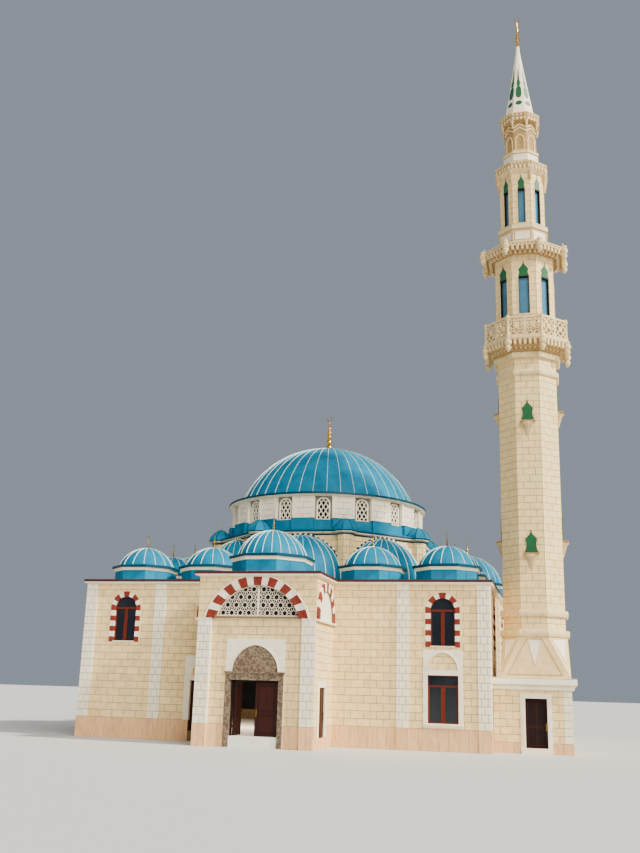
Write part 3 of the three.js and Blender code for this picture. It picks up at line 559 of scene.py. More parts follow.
class Draft:
    """Collects the faces of one piece before it becomes a mesh."""

    def __init__(self, seed: int = 7) -> None:
        """Starts an empty draft whose stones draw their tones from a seed.

        Args:
            seed: of the random tones.
        """
        self.points: list[Point] = []
        self.faces: list[tuple[int, ...]] = []
        self.tones: list[float] = []
        self.random = random.Random(seed)

    def add(self, points: Iterable[Point], faces: Iterable[Sequence[int]], tone: float = 0.0) -> None:
        """Adds points and the faces between them.

        Args:
            points: the points.
            faces: the numbers of each face's points, from 0.
            tone: the faces' tone.
        """
        start = len(self.points)
        self.points.extend(points)
        for face in faces:
            self.faces.append(tuple(start + i for i in face))
            self.tones.append(tone)

    def prism(self, facet: Facet, outline: Sequence[Flat], back: float, front: float,
              tone: float = 0.0) -> None:
        """Adds a closed slab on a face, from a counter-clockwise outline of (along, height).

        Args:
            facet: the face that it lies on.
            outline: the slab's outline.
            back: depth of its back.
            front: how far it stands out.
            tone: the stone's own tone.
        """
        n = len(outline)
        points = [facet.point(u, z, back) for u, z in outline]
        points += [facet.point(u, z, front) for u, z in outline]
        faces: list[Sequence[int]] = [tuple(reversed(range(n))), tuple(range(n, 2 * n))]
        faces += [(i, (i + 1) % n, (i + 1) % n + n, i + n) for i in range(n)]
        self.add(points, faces, tone)

    def slab(self, facet: Facet, u0: float, u1: float, z0: float, z1: float, back: float, front: float,
             tone: float = 0.0) -> None:
        """Adds a rectangular slab on a face.

        Args:
            facet: the face that it lies on.
            u0: its left end.
            u1: its right end.
            z0: its foot.
            z1: its top.
            back: depth of its back.
            front: how far it stands out.
            tone: the stone's own tone.
        """
        self.prism(facet, rectangle(u0, u1, z0, z1), back, front, tone)

    def pair(self, facet: Facet, near: float, far: float, z0: float, z1: float, back: float,
             front: float) -> None:
        """Adds two slabs that mirror each other, from near to far on both sides of the middle.

        Args:
            facet: the face that they lie on.
            near: end next to the middle.
            far: end away from it.
            z0: their foot.
            z1: their top.
            back: depth of their backs.
            front: how far they stand out.
        """
        for side in (-1, 1):
            self.slab(facet, *ends_on(side, near, far), z0, z1, back, front)

    def strip(self, apothem: float, z0: float, z1: float, back: float, front: float) -> None:
        """Adds a slab over the whole width of an octagon's face, drawn at +X.

        Args:
            apothem: from the axis to the face.
            z0: its foot.
            z1: its top.
            back: depth of its back.
            front: how far it stands out.
        """
        half = apothem * HALF_SIDE
        self.slab(Facet(apothem, 0.0, 0), -half, half, z0, z1, back, front)

    def band(self, facet: Facet, inner: Sequence[Flat], outer: Sequence[Flat], back: float, front: float,
             tone: float = 0.0) -> None:
        """Adds a solid band between two lines; both run counter-clockwise round the hole.

        Args:
            facet: the face that it lies on.
            inner: the line next to the hole.
            outer: the line round it, with as many points.
            back: depth of its back.
            front: how far it stands out.
            tone: the stone's own tone.
        """
        n = len(inner)
        points: list[Point] = []
        for line, out in ((inner, back), (outer, back), (inner, front), (outer, front)):
            points += [facet.point(u, z, out) for u, z in line]
        faces: list[Sequence[int]] = []
        for i in range(n - 1):
            a, b, c, d = i, n + i, 2 * n + i, 3 * n + i
            faces += [(c, d, d + 1, c + 1), (a, a + 1, b + 1, b), (b, b + 1, d + 1, d), (a, c, c + 1, a + 1)]
        faces += [(0, n, 3 * n, 2 * n), (n - 1, 3 * n - 1, 4 * n - 1, 2 * n - 1)]
        self.add(points, faces, tone)

    def lathe(self, profile: Sequence[Flat], segments: int, centre: Flat = (0.0, 0.0), phase: float = 0.0,
              closed: bool = False, squash: float = 1.0) -> None:
        """Adds a turned solid from (radius, height) points listed upwards on their outer side.

        Args:
            profile: starts and ends on the axis, or is closed.
            segments: sides of the solid.
            centre: where the axis stands.
            phase: degrees of the first corner from +X.
            closed: whether the last point joins the first.
            squash: scale of the depth along Y.
        """
        rows = []
        points: list[Point] = []
        for radius, height in profile:
            if radius <= ON_AXIS:
                rows.append([len(points)] * segments)
                points.append((centre[0], centre[1], height))
                continue
            rows.append(list(range(len(points), len(points) + segments)))
            for k in range(segments):
                angle = math.radians(phase + 360 * k / segments)
                points.append((centre[0] + radius * math.cos(angle),
                               centre[1] + squash * radius * math.sin(angle), height))
        faces = []
        pairs = list(zip(rows, rows[1:]))
        if closed:
            pairs.append((rows[-1], rows[0]))
        for low, high in pairs:
            for k in range(segments):
                m = (k + 1) % segments
                face = list(dict.fromkeys((low[k], low[m], high[m], high[k])))
                if len(face) > 2:
                    faces.append(face)
        self.add(points, faces)

    def octagon(self, profile: Sequence[Flat], centre: Flat, closed: bool = False) -> None:
        """Adds an eight-sided solid with a flat to the front, from (apothem, height) points."""
        self.lathe([(r * TO_CORNER, z) for r, z in profile], 8, centre, HALF_EIGHTH, closed)

    def rib(self, line: Sequence[Flat], width: float, height: float, centre: Flat = (0.0, 0.0),
            bearing: float = 0.0, squash: float = 1.0) -> None:
        """Adds a raised rib over a (radius, height) line that climbs a dome.

        Args:
            line: points of the dome's outline, upwards.
            width: of the rib at its foot.
            height: of the rib above the sheet.
            centre: where the dome's axis stands.
            bearing: degrees of the rib's upright plane from +X.
            squash: scale of the dome along X.
        """
        turn = math.radians(bearing)
        cos, sin = math.cos(turn), math.sin(turn)
        points: list[Point] = []
        faces: list[Sequence[int]] = []
        for i, (radius, z) in enumerate(line):
            before = line[max(0, i - 1)]
            after = line[min(len(line) - 1, i + 1)]
            along = Vector((after[0] - before[0], after[1] - before[1])).normalized()
            for side, lift in ((-0.5, -0.02), (-0.32, height), (0.32, height), (0.5, -0.02)):
                reach = radius + along[1] * lift
                across = side * width
                points.append((centre[0] + squash * (cos * reach - sin * across),
                               centre[1] + sin * reach + cos * across, z - along[0] * lift))
        last = 4 * (len(line) - 1)
        for i in range(len(line) - 1):
            for k in range(4):
                a, b = 4 * i + k, 4 * i + (k + 1) % 4
                faces.append((a, b, b + 4, a + 4))
        faces += [(3, 2, 1, 0), (last, last + 1, last + 2, last + 3)]
        self.add(points, faces)

    def ring(self, path: Sequence[Flat], profile: Sequence[Flat]) -> None:
        """Sweeps a closed (out, height) profile round a closed counter-clockwise path with mitres.

        Args:
            path: corners of the path.
            profile: points of the profile.
        """
        count = len(path)
        rows: list[Point] = []
        for i, here in enumerate(path):
            before = Vector(here) - Vector(path[i - 1])
            after = Vector(path[(i + 1) % count]) - Vector(here)
            normals = [Vector((v[1], -v[0])).normalized() for v in (before, after)]
            mitre = (normals[0] + normals[1]) / (1 + normals[0].dot(normals[1]))
            rows += [(here[0] + mitre[0] * out, here[1] + mitre[1] * out, z) for out, z in profile]
        n = len(profile)
        faces = []
        for i in range(count):
            j = (i + 1) % count
            for k in range(n):
                m = (k + 1) % n
                faces.append((i * n + k, j * n + k, j * n + m, i * n + m))
        self.add(rows, faces)

    def absorb(self, mesh: bpy.types.Mesh, offset: Point = (0.0, 0.0, 0.0)) -> None:
        """Adds a copy of a finished mesh, moved by an offset."""
        points = [tuple(v.co + Vector(offset)) for v in mesh.vertices]
        self.add(points, [tuple(p.vertices) for p in mesh.polygons])

    def mesh(self, name: str, finish: Finish | None = None, smooth: bool = True) -> bpy.types.Mesh:
        """Returns the draft as a mesh.

        Args:
            name: the mesh's name.
            finish: its material, or none.
            smooth: whether round faces are shaded smooth.

        Returns:
            The mesh.
        """
        mesh = bpy.data.meshes.new(name)
        mesh.from_pydata(self.points, [], self.faces)
        tones = mesh.attributes.new("tone", "FLOAT", "FACE")
        tones.data.foreach_set("value", self.tones)
        if finish:
            mesh.materials.append(finish.make())
        mesh.polygons.foreach_set("use_smooth", [smooth] * len(mesh.polygons))
        if smooth:
            mesh.set_sharp_from_angle(angle=math.radians(ROUND_BELOW))
        mesh.validate()
        return mesh

    def piece(self, name: str, finish: Finish, replaces: Sequence[str] = (), body: str = BUILDING,
              smooth: bool = True) -> bpy.types.Object:
        """Makes the draft one visible piece that rides on a body.

        Args:
            name: the piece's name.
            finish: its material.
            replaces: CAD nodes that it stands for.
            body: the CAD body that it moves with.
            smooth: whether round faces are shaded smooth.

        Returns:
            The new object.
        """
        made = show(name, self.mesh(name, finish, smooth))
        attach(made, body)
        if replaces:
            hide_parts(*replaces)
        logging.info("%s: %d faces in %s", name, len(self.faces), finish.name)
        return made


class Repeater:
    """Geometry Nodes that repeat one item round the vertical axis or on given points.

    _shared is the one that the whole scene uses.
    """

    _shared: "Repeater | None" = None

    def __init__(self) -> None:
        """Builds both trees."""
        self.ring_tree, self.ring_inputs = self._ring_tree()
        self.point_tree, self.point_inputs = self._point_tree()

    @classmethod
    def shared(cls) -> "Repeater":
        """Returns the one repeater of the scene."""
        cls._shared = cls._shared or cls()
        return cls._shared

    @staticmethod
    def _start(name: str, inputs: dict[str, str]) -> tuple[bpy.types.NodeTree, dict[str, str]]:
        """Starts a tree with named inputs and returns it with their identifiers.

        Args:
            name: the tree's name.
            inputs: socket types by input name.

        Returns:
            The tree and the identifiers.
        """
        tree = bpy.data.node_groups.new(name, "GeometryNodeTree")
        identifiers = {}
        for label, kind in inputs.items():
            socket = tree.interface.new_socket(label, in_out="INPUT", socket_type=kind)
            identifiers[label] = socket.identifier
        tree.interface.new_socket("Geometry", in_out="OUTPUT", socket_type="NodeSocketGeometry")
        return tree, identifiers

    @staticmethod
    def _end(tree: bpy.types.NodeTree, entry: bpy.types.Node, copies: bpy.types.Node) -> None:
        """Ends a tree in Realize Instances and Set Material.

        Args:
            tree: the node tree.
            entry: its input node.
            copies: the node that gives the copies.
        """
        solid = add_node(tree, "GeometryNodeRealizeInstances", {"Geometry": copies.outputs[0]})
        dressed = add_node(
            tree, "GeometryNodeSetMaterial",
            {"Geometry": solid.outputs[0], "Material": entry.outputs["Finish"]},
        )
        add_node(tree, "NodeGroupOutput", {"Geometry": dressed.outputs[0]})

    def _ring_tree(self) -> tuple[bpy.types.NodeTree, dict[str, str]]:
        """Builds the tree that turns copies of its item about the vertical axis.

        Returns:
            The tree and the identifiers of its inputs.
        """
        tree, identifiers = self._start("copies_round_axis", {
            "Item": "NodeSocketGeometry", "Count": "NodeSocketInt", "Step": "NodeSocketFloat",
            "Phase": "NodeSocketFloat", "Finish": "NodeSocketMaterial",
        })
        entry = add_node(tree, "NodeGroupInput")
        line = add_node(tree, "GeometryNodeMeshLine",
                        {"Count": entry.outputs["Count"], "Offset": (0.0, 0.0, 0.0)})
        index = add_node(tree, "GeometryNodeInputIndex")
        turn = add_node(tree, "ShaderNodeMath", operation="MULTIPLY_ADD",
                        inputs={0: index.outputs[0], 1: entry.outputs["Step"], 2: entry.outputs["Phase"]})
        euler = add_node(tree, "ShaderNodeCombineXYZ", {"Z": turn.outputs[0]})
        spin = add_node(tree, "FunctionNodeEulerToRotation", {0: euler.outputs[0]})
        copies = add_node(tree, "GeometryNodeInstanceOnPoints", {
            "Points": line.outputs[0], "Instance": entry.outputs["Item"], "Rotation": spin.outputs[0]})
        self._end(tree, entry, copies)
        return tree, identifiers

    def _point_tree(self) -> tuple[bpy.types.NodeTree, dict[str, str]]:
        """Builds the tree that sets copies of an item on the points of a mesh.

        Returns:
            The tree and the identifiers of its inputs.
        """
        tree, identifiers = self._start("copies_on_points", {
            "Points": "NodeSocketGeometry", "Item": "NodeSocketObject", "Scale": "NodeSocketFloat",
            "Finish": "NodeSocketMaterial",
        })
        entry = add_node(tree, "NodeGroupInput")
        item = add_node(tree, "GeometryNodeObjectInfo", {"Object": entry.outputs["Item"]})
        copies = add_node(tree, "GeometryNodeInstanceOnPoints", {
            "Points": entry.outputs["Points"], "Instance": item.outputs["Geometry"],
            "Scale": entry.outputs["Scale"]})
        self._end(tree, entry, copies)
        return tree, identifiers

    @staticmethod
    def _result(base: Draft, tree: bpy.types.NodeTree, values: dict[str, object]) -> bpy.types.Mesh:
        """Evaluates a tree on a draft and returns the plain mesh.

        Args:
            base: the draft.
            tree: the tree.
            values: the tree's inputs by identifier.

        Returns:
            The mesh.
        """
        holder = show("repeat", base.mesh("repeat"))
        modifier = holder.modifiers.new("repeat", "NODES")
        modifier.node_group = tree
        for identifier, value in values.items():
            modifier[identifier] = value
        bpy.context.view_layer.update()
        shown = bpy.context.evaluated_depsgraph_get()
        mesh = bpy.data.meshes.new_from_object(holder.evaluated_get(shown))
        holder.modifiers.remove(modifier)
        bpy.data.objects.remove(holder)
        return mesh

    def ring(self, item: Draft, count: int, finish: Finish, phase: float = 0.0,
             step: float | None = None) -> bpy.types.Mesh:
        """Repeats an item that is drawn at +X.

        Args:
            item: the item, in place on its circle.
            count: how many copies.
            finish: their material.
            phase: degrees of the first copy.
            step: degrees between copies, or a full circle shared out.

        Returns:
            The copies as one mesh.
        """
        names = self.ring_inputs
        turn = 360 / count if step is None else step
        return self._result(item, self.ring_tree, {
            names["Count"]: count, names["Step"]: math.radians(turn),
            names["Phase"]: math.radians(phase), names["Finish"]: finish.make()})

    def scatter(self, item: Draft, points: Sequence[Point], finish: Finish,
                scale: float = 1.0) -> bpy.types.Mesh:
        """Sets an item on every point and returns the copies as one mesh.

        Args:
            item: the item, round its own zero.
            points: where the copies stand.
            finish: their material.
            scale: their scale.

        Returns:
            The mesh.
        """
        holder = show("item", item.mesh("item"))
        base = Draft()
        base.points = list(points)
        names = self.point_inputs
        mesh = self._result(base, self.point_tree, {
            names["Item"]: holder, names["Scale"]: scale, names["Finish"]: finish.make()})
        bpy.data.objects.remove(holder)
        return mesh


def piece_of(mesh: bpy.types.Mesh, name: str, finish: Finish, centre: Flat = (0.0, 0.0),
             replaces: Sequence[str] = ()) -> bpy.types.Object:
    """Makes a repeated mesh one piece, moved to its own axis.

    Args:
        mesh: the copies.
        name: the piece's name.
        finish: its material.
        centre: where the copies' axis stands.
        replaces: CAD nodes that it stands for.

    Returns:
        The new object.
    """
    draft = Draft()
    draft.absorb(mesh, (centre[0], centre[1], 0.0))
    return draft.piece(name, finish, replaces)


def dress(node: str, finish: Finish) -> None:
    """Gives a CAD node its finish.

    Args:
        node: the node's name.
        finish: its finish.
    """
    data = frame["nodes"][node].data
    data.materials.clear()
    data.materials.append(finish.make())


# Walls


@dataclass(frozen=True)
class Coursing:
    """Slabs laid in half bond.

    Args:
        course: height of a course.
        length: length of a slab.
        joint: width of the joints.
        proud: thickness in front of the mortar.
    """

    course: float = 0.3359
    length: float = 0.62
    joint: float = 0.02
    proud: float = 0.012

    def lay(self, draft: Draft, facet: Facet, span: Flat, levels: Flat, out: float = 0.0,
            holes: Sequence[Sequence[Flat]] = (), depth: float = 0.004) -> None:
        """Lays a field of slabs.

        Args:
            draft: takes the slabs.
            facet: the wall's face.
            span: ends of the field along the face.
            levels: its foot and its top.
            out: where the mortar's face lies.
            holes: convex openings that are left free.
            depth: how far the slabs reach behind the mortar's face.
        """
        rows = max(1, round((levels[1] - levels[0]) / self.course))
        height = (levels[1] - levels[0]) / rows
        for row in range(rows):
            low = levels[0] + row * height + self.joint / 2
            high = levels[0] + (row + 1) * height - self.joint / 2
            for left, right in self._stones(span, row):
                pieces = [rectangle(left, right, low, high)]
                for hole in holes:
                    pieces = [part for whole in pieces for part in cut_out(whole, hole)]
                tone = max(-TONE_LIMIT, min(TONE_LIMIT, draft.random.gauss(0, TONE_SPREAD)))
                for part in pieces:
                    draft.prism(facet, part, out - depth, out + self.proud, tone)

    def _stones(self, span: Flat, row: int) -> list[Flat]:
        """Returns the ends of each stone in one row.

        Args:
            span: ends of the row.
            row: its number, 0 at the foot.

        Returns:
            The ends of each stone.
        """
        width = span[1] - span[0]
        count = max(1, round(width / self.length))
        length = width / count
        joints = [span[0]]
        first = span[0] + (length / 2 if row % 2 else length)
        while first < span[1] - length * 0.2:
            joints.append(first)
            first += length
        joints.append(span[1])
        return [(a + self.joint / 2, b - self.joint / 2) for a, b in zip(joints, joints[1:])]


# Smaller slabs that fill the blind arches.
ARCH_FILL = Coursing(0.28, 0.42)


def foot_panels(height: float, length: float = 0.45) -> Coursing:
    """Returns the one row of tall panels at a wall's foot, which stand out further."""
    return Coursing(height, length, joint=0.01, proud=0.022)


@dataclass(frozen=True)
class UpperWindow:
    """A round-headed window in a ring of red and white stones.

    Args:
        half: half the clear width.
        sill: foot of the clear opening.
        spring: where its arch begins.
        ring: width of the pale stones.
        tooth: how much wider the red ones are.
        rim: width of the smooth pale band round them.
        proud: how far they stand out.
        courses: whole stones in each jamb, even, below the half stone at the spring.
        stones: stones of the arch, odd, red at both ends and at the top.
        turns: half the degrees that a pale and a red arch stone run through.
        set_back: from the wall's face to the frame.
        stock: face width of the frame.
    """

    half: float = 0.565
    sill: float = 4.54
    spring: float = 6.125
    ring: float = 0.205
    tooth: float = 0.02
    rim: float = 0.095
    proud: float = 0.03
    courses: int = 6
    stones: int = 9
    turns: Flat = (9.6, 12.9)
    set_back: float = 0.1
    stock: float = 0.035

    def outline(self, grow: float = 0.0, steps: int = 12) -> list[Flat]:
        """Returns the opening's outline, counter-clockwise from its lower left corner.

        Args:
            grow: how much wider than the clear opening.
            steps: straight pieces of the arch.

        Returns:
            The outline.
        """
        half = self.half + grow
        foot = [(-half, self.sill - min(grow, 0.05)), (half, self.sill - min(grow, 0.05))]
        return foot + arc((0.0, self.spring), half, 0.0, 180.0, steps)

    def add(self, kit: "WindowKit", facet: Facet) -> None:
        """Adds one window to the drafts of its wall.

        Args:
            kit: the drafts of its wall.
            facet: the wall's face, its zero at the window's middle.
        """
        inner, outer = self.half - 0.004, self.half + self.ring
        foot = self.sill - 0.05
        height = (self.spring - foot) / (self.courses + 0.5)
        for i in range(self.courses + 1):
            draft, reach = (kit.white, outer) if i % 2 else (kit.red, outer + self.tooth)
            low = foot + i * height
            high = min(low + height, self.spring)
            for left, right in ((inner, reach), (-reach, -inner)):
                draft.slab(facet, left, right, low + 0.003, high - 0.003 * (i < self.courses),
                           -self.set_back, self.proud, kit.tone())
        last = self.stones - 1
        pitch, joint = 180 / last, 0.3
        for i in range(self.stones):
            draft, reach = (kit.white, outer) if i % 2 else (kit.red, outer + self.tooth)
            spread = self.turns[0] if i % 2 else self.turns[1]
            start, end = max(0.0, pitch * i - spread), min(180.0, pitch * i + spread)
            ends = (start + joint * (i > 0), end - joint * (i < last))
            key = self.tooth * (i == last // 2)
            lines = [arc((0.0, self.spring), r, *ends, 4) for r in (inner, reach + key)]
            draft.band(facet, *lines, -self.set_back, self.proud, kit.tone())
        edges = [[(r, foot)] + arc((0.0, self.spring), r, 0.0, 180.0, 24) + [(-r, foot)]
                 for r in (outer - 0.01, outer + self.rim)]
        kit.fill.band(facet, *edges, -0.03, self.proud - 0.012)
        kit.white.slab(facet, -inner, inner, foot, self.sill, -self.set_back, self.proud + 0.03)
        self._joinery(kit, facet.shifted(0.0, -self.set_back))

    def _joinery(self, kit: "WindowKit", facet: Facet) -> None:
        """Adds the frame, the two lower casements and the pane.

        Args:
            kit: the drafts of its wall.
            facet: the plane of the frame's face.
        """
        clear = self.half - self.stock
        rims = [[(r, self.sill)] + arc((0.0, self.spring), r, 0.0, 180.0, 16) + [(-r, self.sill)]
                for r in (clear, self.half)]
        kit.frame.band(facet, *rims, -0.07, 0.0)
        kit.frame.slab(facet, -clear, clear, self.sill, self.sill + self.stock, -0.07, 0.0)
        kit.frame.slab(facet, -clear, clear, self.spring - 0.05, self.spring + 0.05, -0.07, 0.008)
        for near, far in ((0.004, 0.085), (clear - 0.03, clear)):
            kit.frame.pair(facet, near, far, self.sill + self.stock, self.spring - 0.05, -0.07, 0.012)
        kit.pane.prism(facet, self.outline(-0.02), -0.05, -0.035)


@dataclass(frozen=True)
class LowerWindow:
    """A square-headed window in a pale panel, under a blind pointed arch.

    Args:
        half: half the clear width.
        sill: foot of the clear opening.
        head: top of the clear opening.
        transom: height of the bar under the top light.
        panel: half the panel's width.
        levels: foot and top of the panel.
        arch: half width, foot and apex of the blind arch.
        proud: how far the panel stands out.
        set_back: from the wall's face to the frame.
        stock: face width of the frame.
    """

    half: float = 0.7
    sill: float = 1.17
    head: float = 3.26
    transom: float = 2.78
    panel: float = 0.89
    levels: Flat = (1.0, 4.36)
    arch: tuple[float, float, float] = (0.66, 3.5, 4.26)
    proud: float = 0.04
    set_back: float = 0.1
    stock: float = 0.05

    def add(self, kit: "WindowKit", facet: Facet) -> None:
        """Adds one window to the drafts of its wall.

        Args:
            kit: the drafts of its wall.
            facet: the wall's face, its zero at the window's middle.
        """
        inner = self.half - 0.004
        low, high = self.levels
        kit.white.pair(facet, inner, self.panel, low, high, -self.set_back, self.proud)
        kit.white.slab(facet, -inner, inner, low, self.sill + 0.004, -self.set_back, self.proud)
        kit.white.slab(facet, -inner, inner, self.head - 0.004, self.arch[1], -self.set_back, self.proud)
        for part in cut_out(rectangle(-inner, inner, self.arch[1], high), pointed_arch(*self.arch, 10)):
            kit.white.prism(facet, part, -0.01, self.proud)
        grown = pointed_arch(self.arch[0] + 0.045, self.arch[1], self.arch[2] + 0.05, 10)
        kit.white.band(facet, pointed_arch(*self.arch, 10), grown, 0.0, self.proud + 0.03)
        ledge = self.panel + 0.02
        kit.white.slab(facet, -ledge, ledge, self.sill - 0.09, self.sill - 0.02, 0.0, self.proud + 0.05)
        ARCH_FILL.lay(kit.fill, facet, (-inner, inner), (self.arch[1], high))
        self._joinery(kit, facet.shifted(0.0, -self.set_back))

    def _joinery(self, kit: "WindowKit", facet: Facet) -> None:
        """Adds the frame, two casements, the top light and the pane.

        Args:
            kit: the drafts of its wall.
            facet: the plane of the frame's face.
        """
        clear = self.half - self.stock
        kit.frame.pair(facet, clear, self.half, self.sill, self.head, -0.08, 0.0)
        for low, high in ((self.sill, self.sill + self.stock), (self.head - self.stock, self.head),
                          (self.transom - 0.04, self.transom + 0.04)):
            kit.frame.slab(facet, -clear, clear, low, high, -0.08, 0.006)
        for near, far in ((0.004, 0.095), (clear - 0.04, clear)):
            kit.frame.pair(facet, near, far, self.sill + self.stock, self.transom - 0.04, -0.08, 0.012)
        kit.pane.slab(facet, -self.half, self.half, self.sill, self.head, -0.055, -0.04)


class WindowKit:
    """The drafts that the windows of one wall share."""

    def __init__(self, wall: str) -> None:
        """Starts the drafts of a wall's windows."""
        self.wall = wall
        self.red, self.white, self.fill, self.frame, self.pane = (Draft(len(wall) + i) for i in range(5))

    def tone(self) -> float:
        """Returns the next stone's own shade."""
        return self.red.random.gauss(0, TONE_SPREAD)

    def finish(self) -> None:
        """Makes the drafts pieces."""
        made = ((self.red, "red_stones", RED_STONE), (self.white, "pale_surrounds", CAST_STONE),
                (self.fill, "rims_and_arch_fills", LIMESTONE), (self.frame, "window_frames", MAHOGANY),
                (self.pane, "window_panes", DARK_GLASS))
        for draft, label, finish in made:
            if draft.faces:
                draft.piece(f"{self.wall}_{label}", finish)


@dataclass
class CladWall:
    """One wall of the hall with its slabs, pilasters, foot and windows.

    Args:
        name: the wall's name.
        facet: its face.
        ends: where the slabs end.
        strips: ends of each pilaster.
        upper: centres of the round-headed windows.
        lower: centres of the square-headed windows.
        gaps: outlines of doors, left free of slabs.
        foot: top of the travertine foot.
        head: where the slabs end below the cornice.
        strip_out: how far the pilasters stand out.
    """

    name: str
    facet: Facet
    ends: Flat
    strips: Sequence[Flat]
    upper: Sequence[float] = ()
    lower: Sequence[float] = ()
    gaps: Sequence[Sequence[Flat]] = ()
    foot: float = 0.943
    head: float = 7.36
    strip_out: float = 0.06

    def holes(self) -> list[list[Flat]]:
        """Returns the outlines that the slabs leave free.

        Returns:
            Convex outlines.
        """
        window, low = UpperWindow(), LowerWindow()
        round_headed = window.outline(window.ring + window.rim - 0.02)
        found = [[(u + x, z) for x, z in round_headed] for u in self.upper]
        edge = low.panel - 0.02
        found += [rectangle(u - edge, u + edge, low.levels[0] + 0.02, low.levels[1] - 0.02)
                  for u in self.lower]
        return found + [list(gap) for gap in self.gaps]

    def fields(self) -> list[Flat]:
        """Returns the ends of the slab fields between the pilasters.

        Returns:
            The two ends of each field.
        """
        marks = [self.ends[0]]
        for left, right in sorted(self.strips):
            marks += [left, right]
        marks.append(self.ends[1])
        return [(a, b) for a, b in zip(marks[::2], marks[1::2]) if b - a > 0.05]

    def build(self) -> None:
        """Builds the wall's pieces."""
        slabs, strips, foot = Draft(11), Draft(12), Draft(13)
        panels = foot_panels(self.foot)
        for field_ends in self.fields():
            Coursing().lay(slabs, self.facet, field_ends, (self.foot, self.head), holes=self.holes())
            panels.lay(foot, self.facet, field_ends, (0.0, self.foot), holes=self.gaps)
        for left, right in self.strips:
            span = (left - 0.012, right + 0.012)
            half_bond = Coursing(length=(right - left) / 2)
            half_bond.lay(strips, self.facet, span, (self.foot, self.head), self.strip_out, depth=0.06)
            panels.lay(foot, self.facet, span, (0.0, self.foot), self.strip_out, depth=0.06)
        slabs.piece(f"{self.name}_slabs", LIMESTONE)
        strips.piece(f"{self.name}_pilasters", CAST_STONE)
        foot.piece(f"{self.name}_foot", TRAVERTINE)
        kit = WindowKit(self.name)
        for along in self.upper:
            UpperWindow().add(kit, self.facet.shifted(along))
        for along in self.lower:
            LowerWindow().add(kit, self.facet.shifted(along))
        kit.finish()


@dataclass
class Hall:
    """The four outer walls of the square hall.

    Args:
        half_width: centre to side face.
        half_depth: centre to front face.
        window_x: upper windows of the front.
        rear_x: windows of the rear.
        bay: spacing of the side windows.
        outer_strips: ends of the front's outer pilasters.
        strip_half: half the width of the other pilasters.
        wing_door: ends and top of the wing door's surround.
        portal_half: half the portal's width.
    """

    half_width: float = 9.88
    half_depth: float = 9.52
    window_x: float = 7.81
    rear_x: tuple[float, ...] = (3.0, 7.81)
    bay: float = 6.1
    outer_strips: tuple[Flat, ...] = ((9.373, 9.94), (5.711, 6.273))
    strip_half: float = 0.281
    wing_door: tuple[float, float, float] = (-4.5, -2.82, 3.9)
    portal_half: float = 2.71

    def build(self) -> None:
        """Builds every wall."""
        for node in ("front_wall_left", "front_wall_right", "left_wall_front", "left_wall_rear",
                     "right_wall_front", "right_wall_rear", "rear_wall_left", "rear_wall_right"):
            dress(node, MORTAR)
        for node in ("front_glass_left", "front_glass_right", "left_glass", "right_glass", "rear_glass"):
            dress(node, DARK_GLASS)
        self._front()
        self._sides()
        self._rear()
        dress("floor_slab", PLASTER)

    def _front(self) -> None:
        """Builds the entrance front, left and right of the portal."""
        left, right, top = self.wing_door
        low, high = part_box("wing_door")
        gap = rectangle(left + 0.02, right - 0.02, 0.96, top - 0.02)
        doorway = rectangle(low.x, high.x, 0.0, high.z)
        face = Facet(0.0, -self.half_depth, -90)
        strips = self.outer_strips
        CladWall("front_left", face, (-self.half_width, -self.portal_half),
                 [(-b, -a) for a, b in strips], upper=[-self.window_x], gaps=[gap, doorway]).build()
        CladWall("front_right", face, (self.portal_half, self.half_width), list(strips),
                 upper=[self.window_x], lower=[self.window_x]).build()

    def _sides(self) -> None:
        """Builds the two long sides."""
        edge, half = self.half_depth + 0.06, self.strip_half
        strips = [(-edge, -8.91), (8.91, edge)]
        strips += [(u - half, u + half) for u in (-self.bay / 2, self.bay / 2)]
        bays = (-self.bay, 0.0, self.bay)
        ends = (-self.half_depth, self.half_depth)
        CladWall("left_side", Facet(-self.half_width, 0.0, 180), ends, strips, bays, bays).build()
        CladWall("right_side", Facet(self.half_width, 0.0, 0), ends, strips, bays, bays[1:]).build()

    def _rear(self) -> None:
        """Builds the rear."""
        strips = [(-self.strip_half, self.strip_half)]
        for left, right in self.outer_strips:
            strips += [(left, right), (-right, -left)]
        windows = [side * x for x in self.rear_x for side in (-1, 1)]
        CladWall("rear", Facet(0.0, self.half_depth, 90), (-self.half_width, self.half_width), strips,
                 windows, windows).build()


# Portal


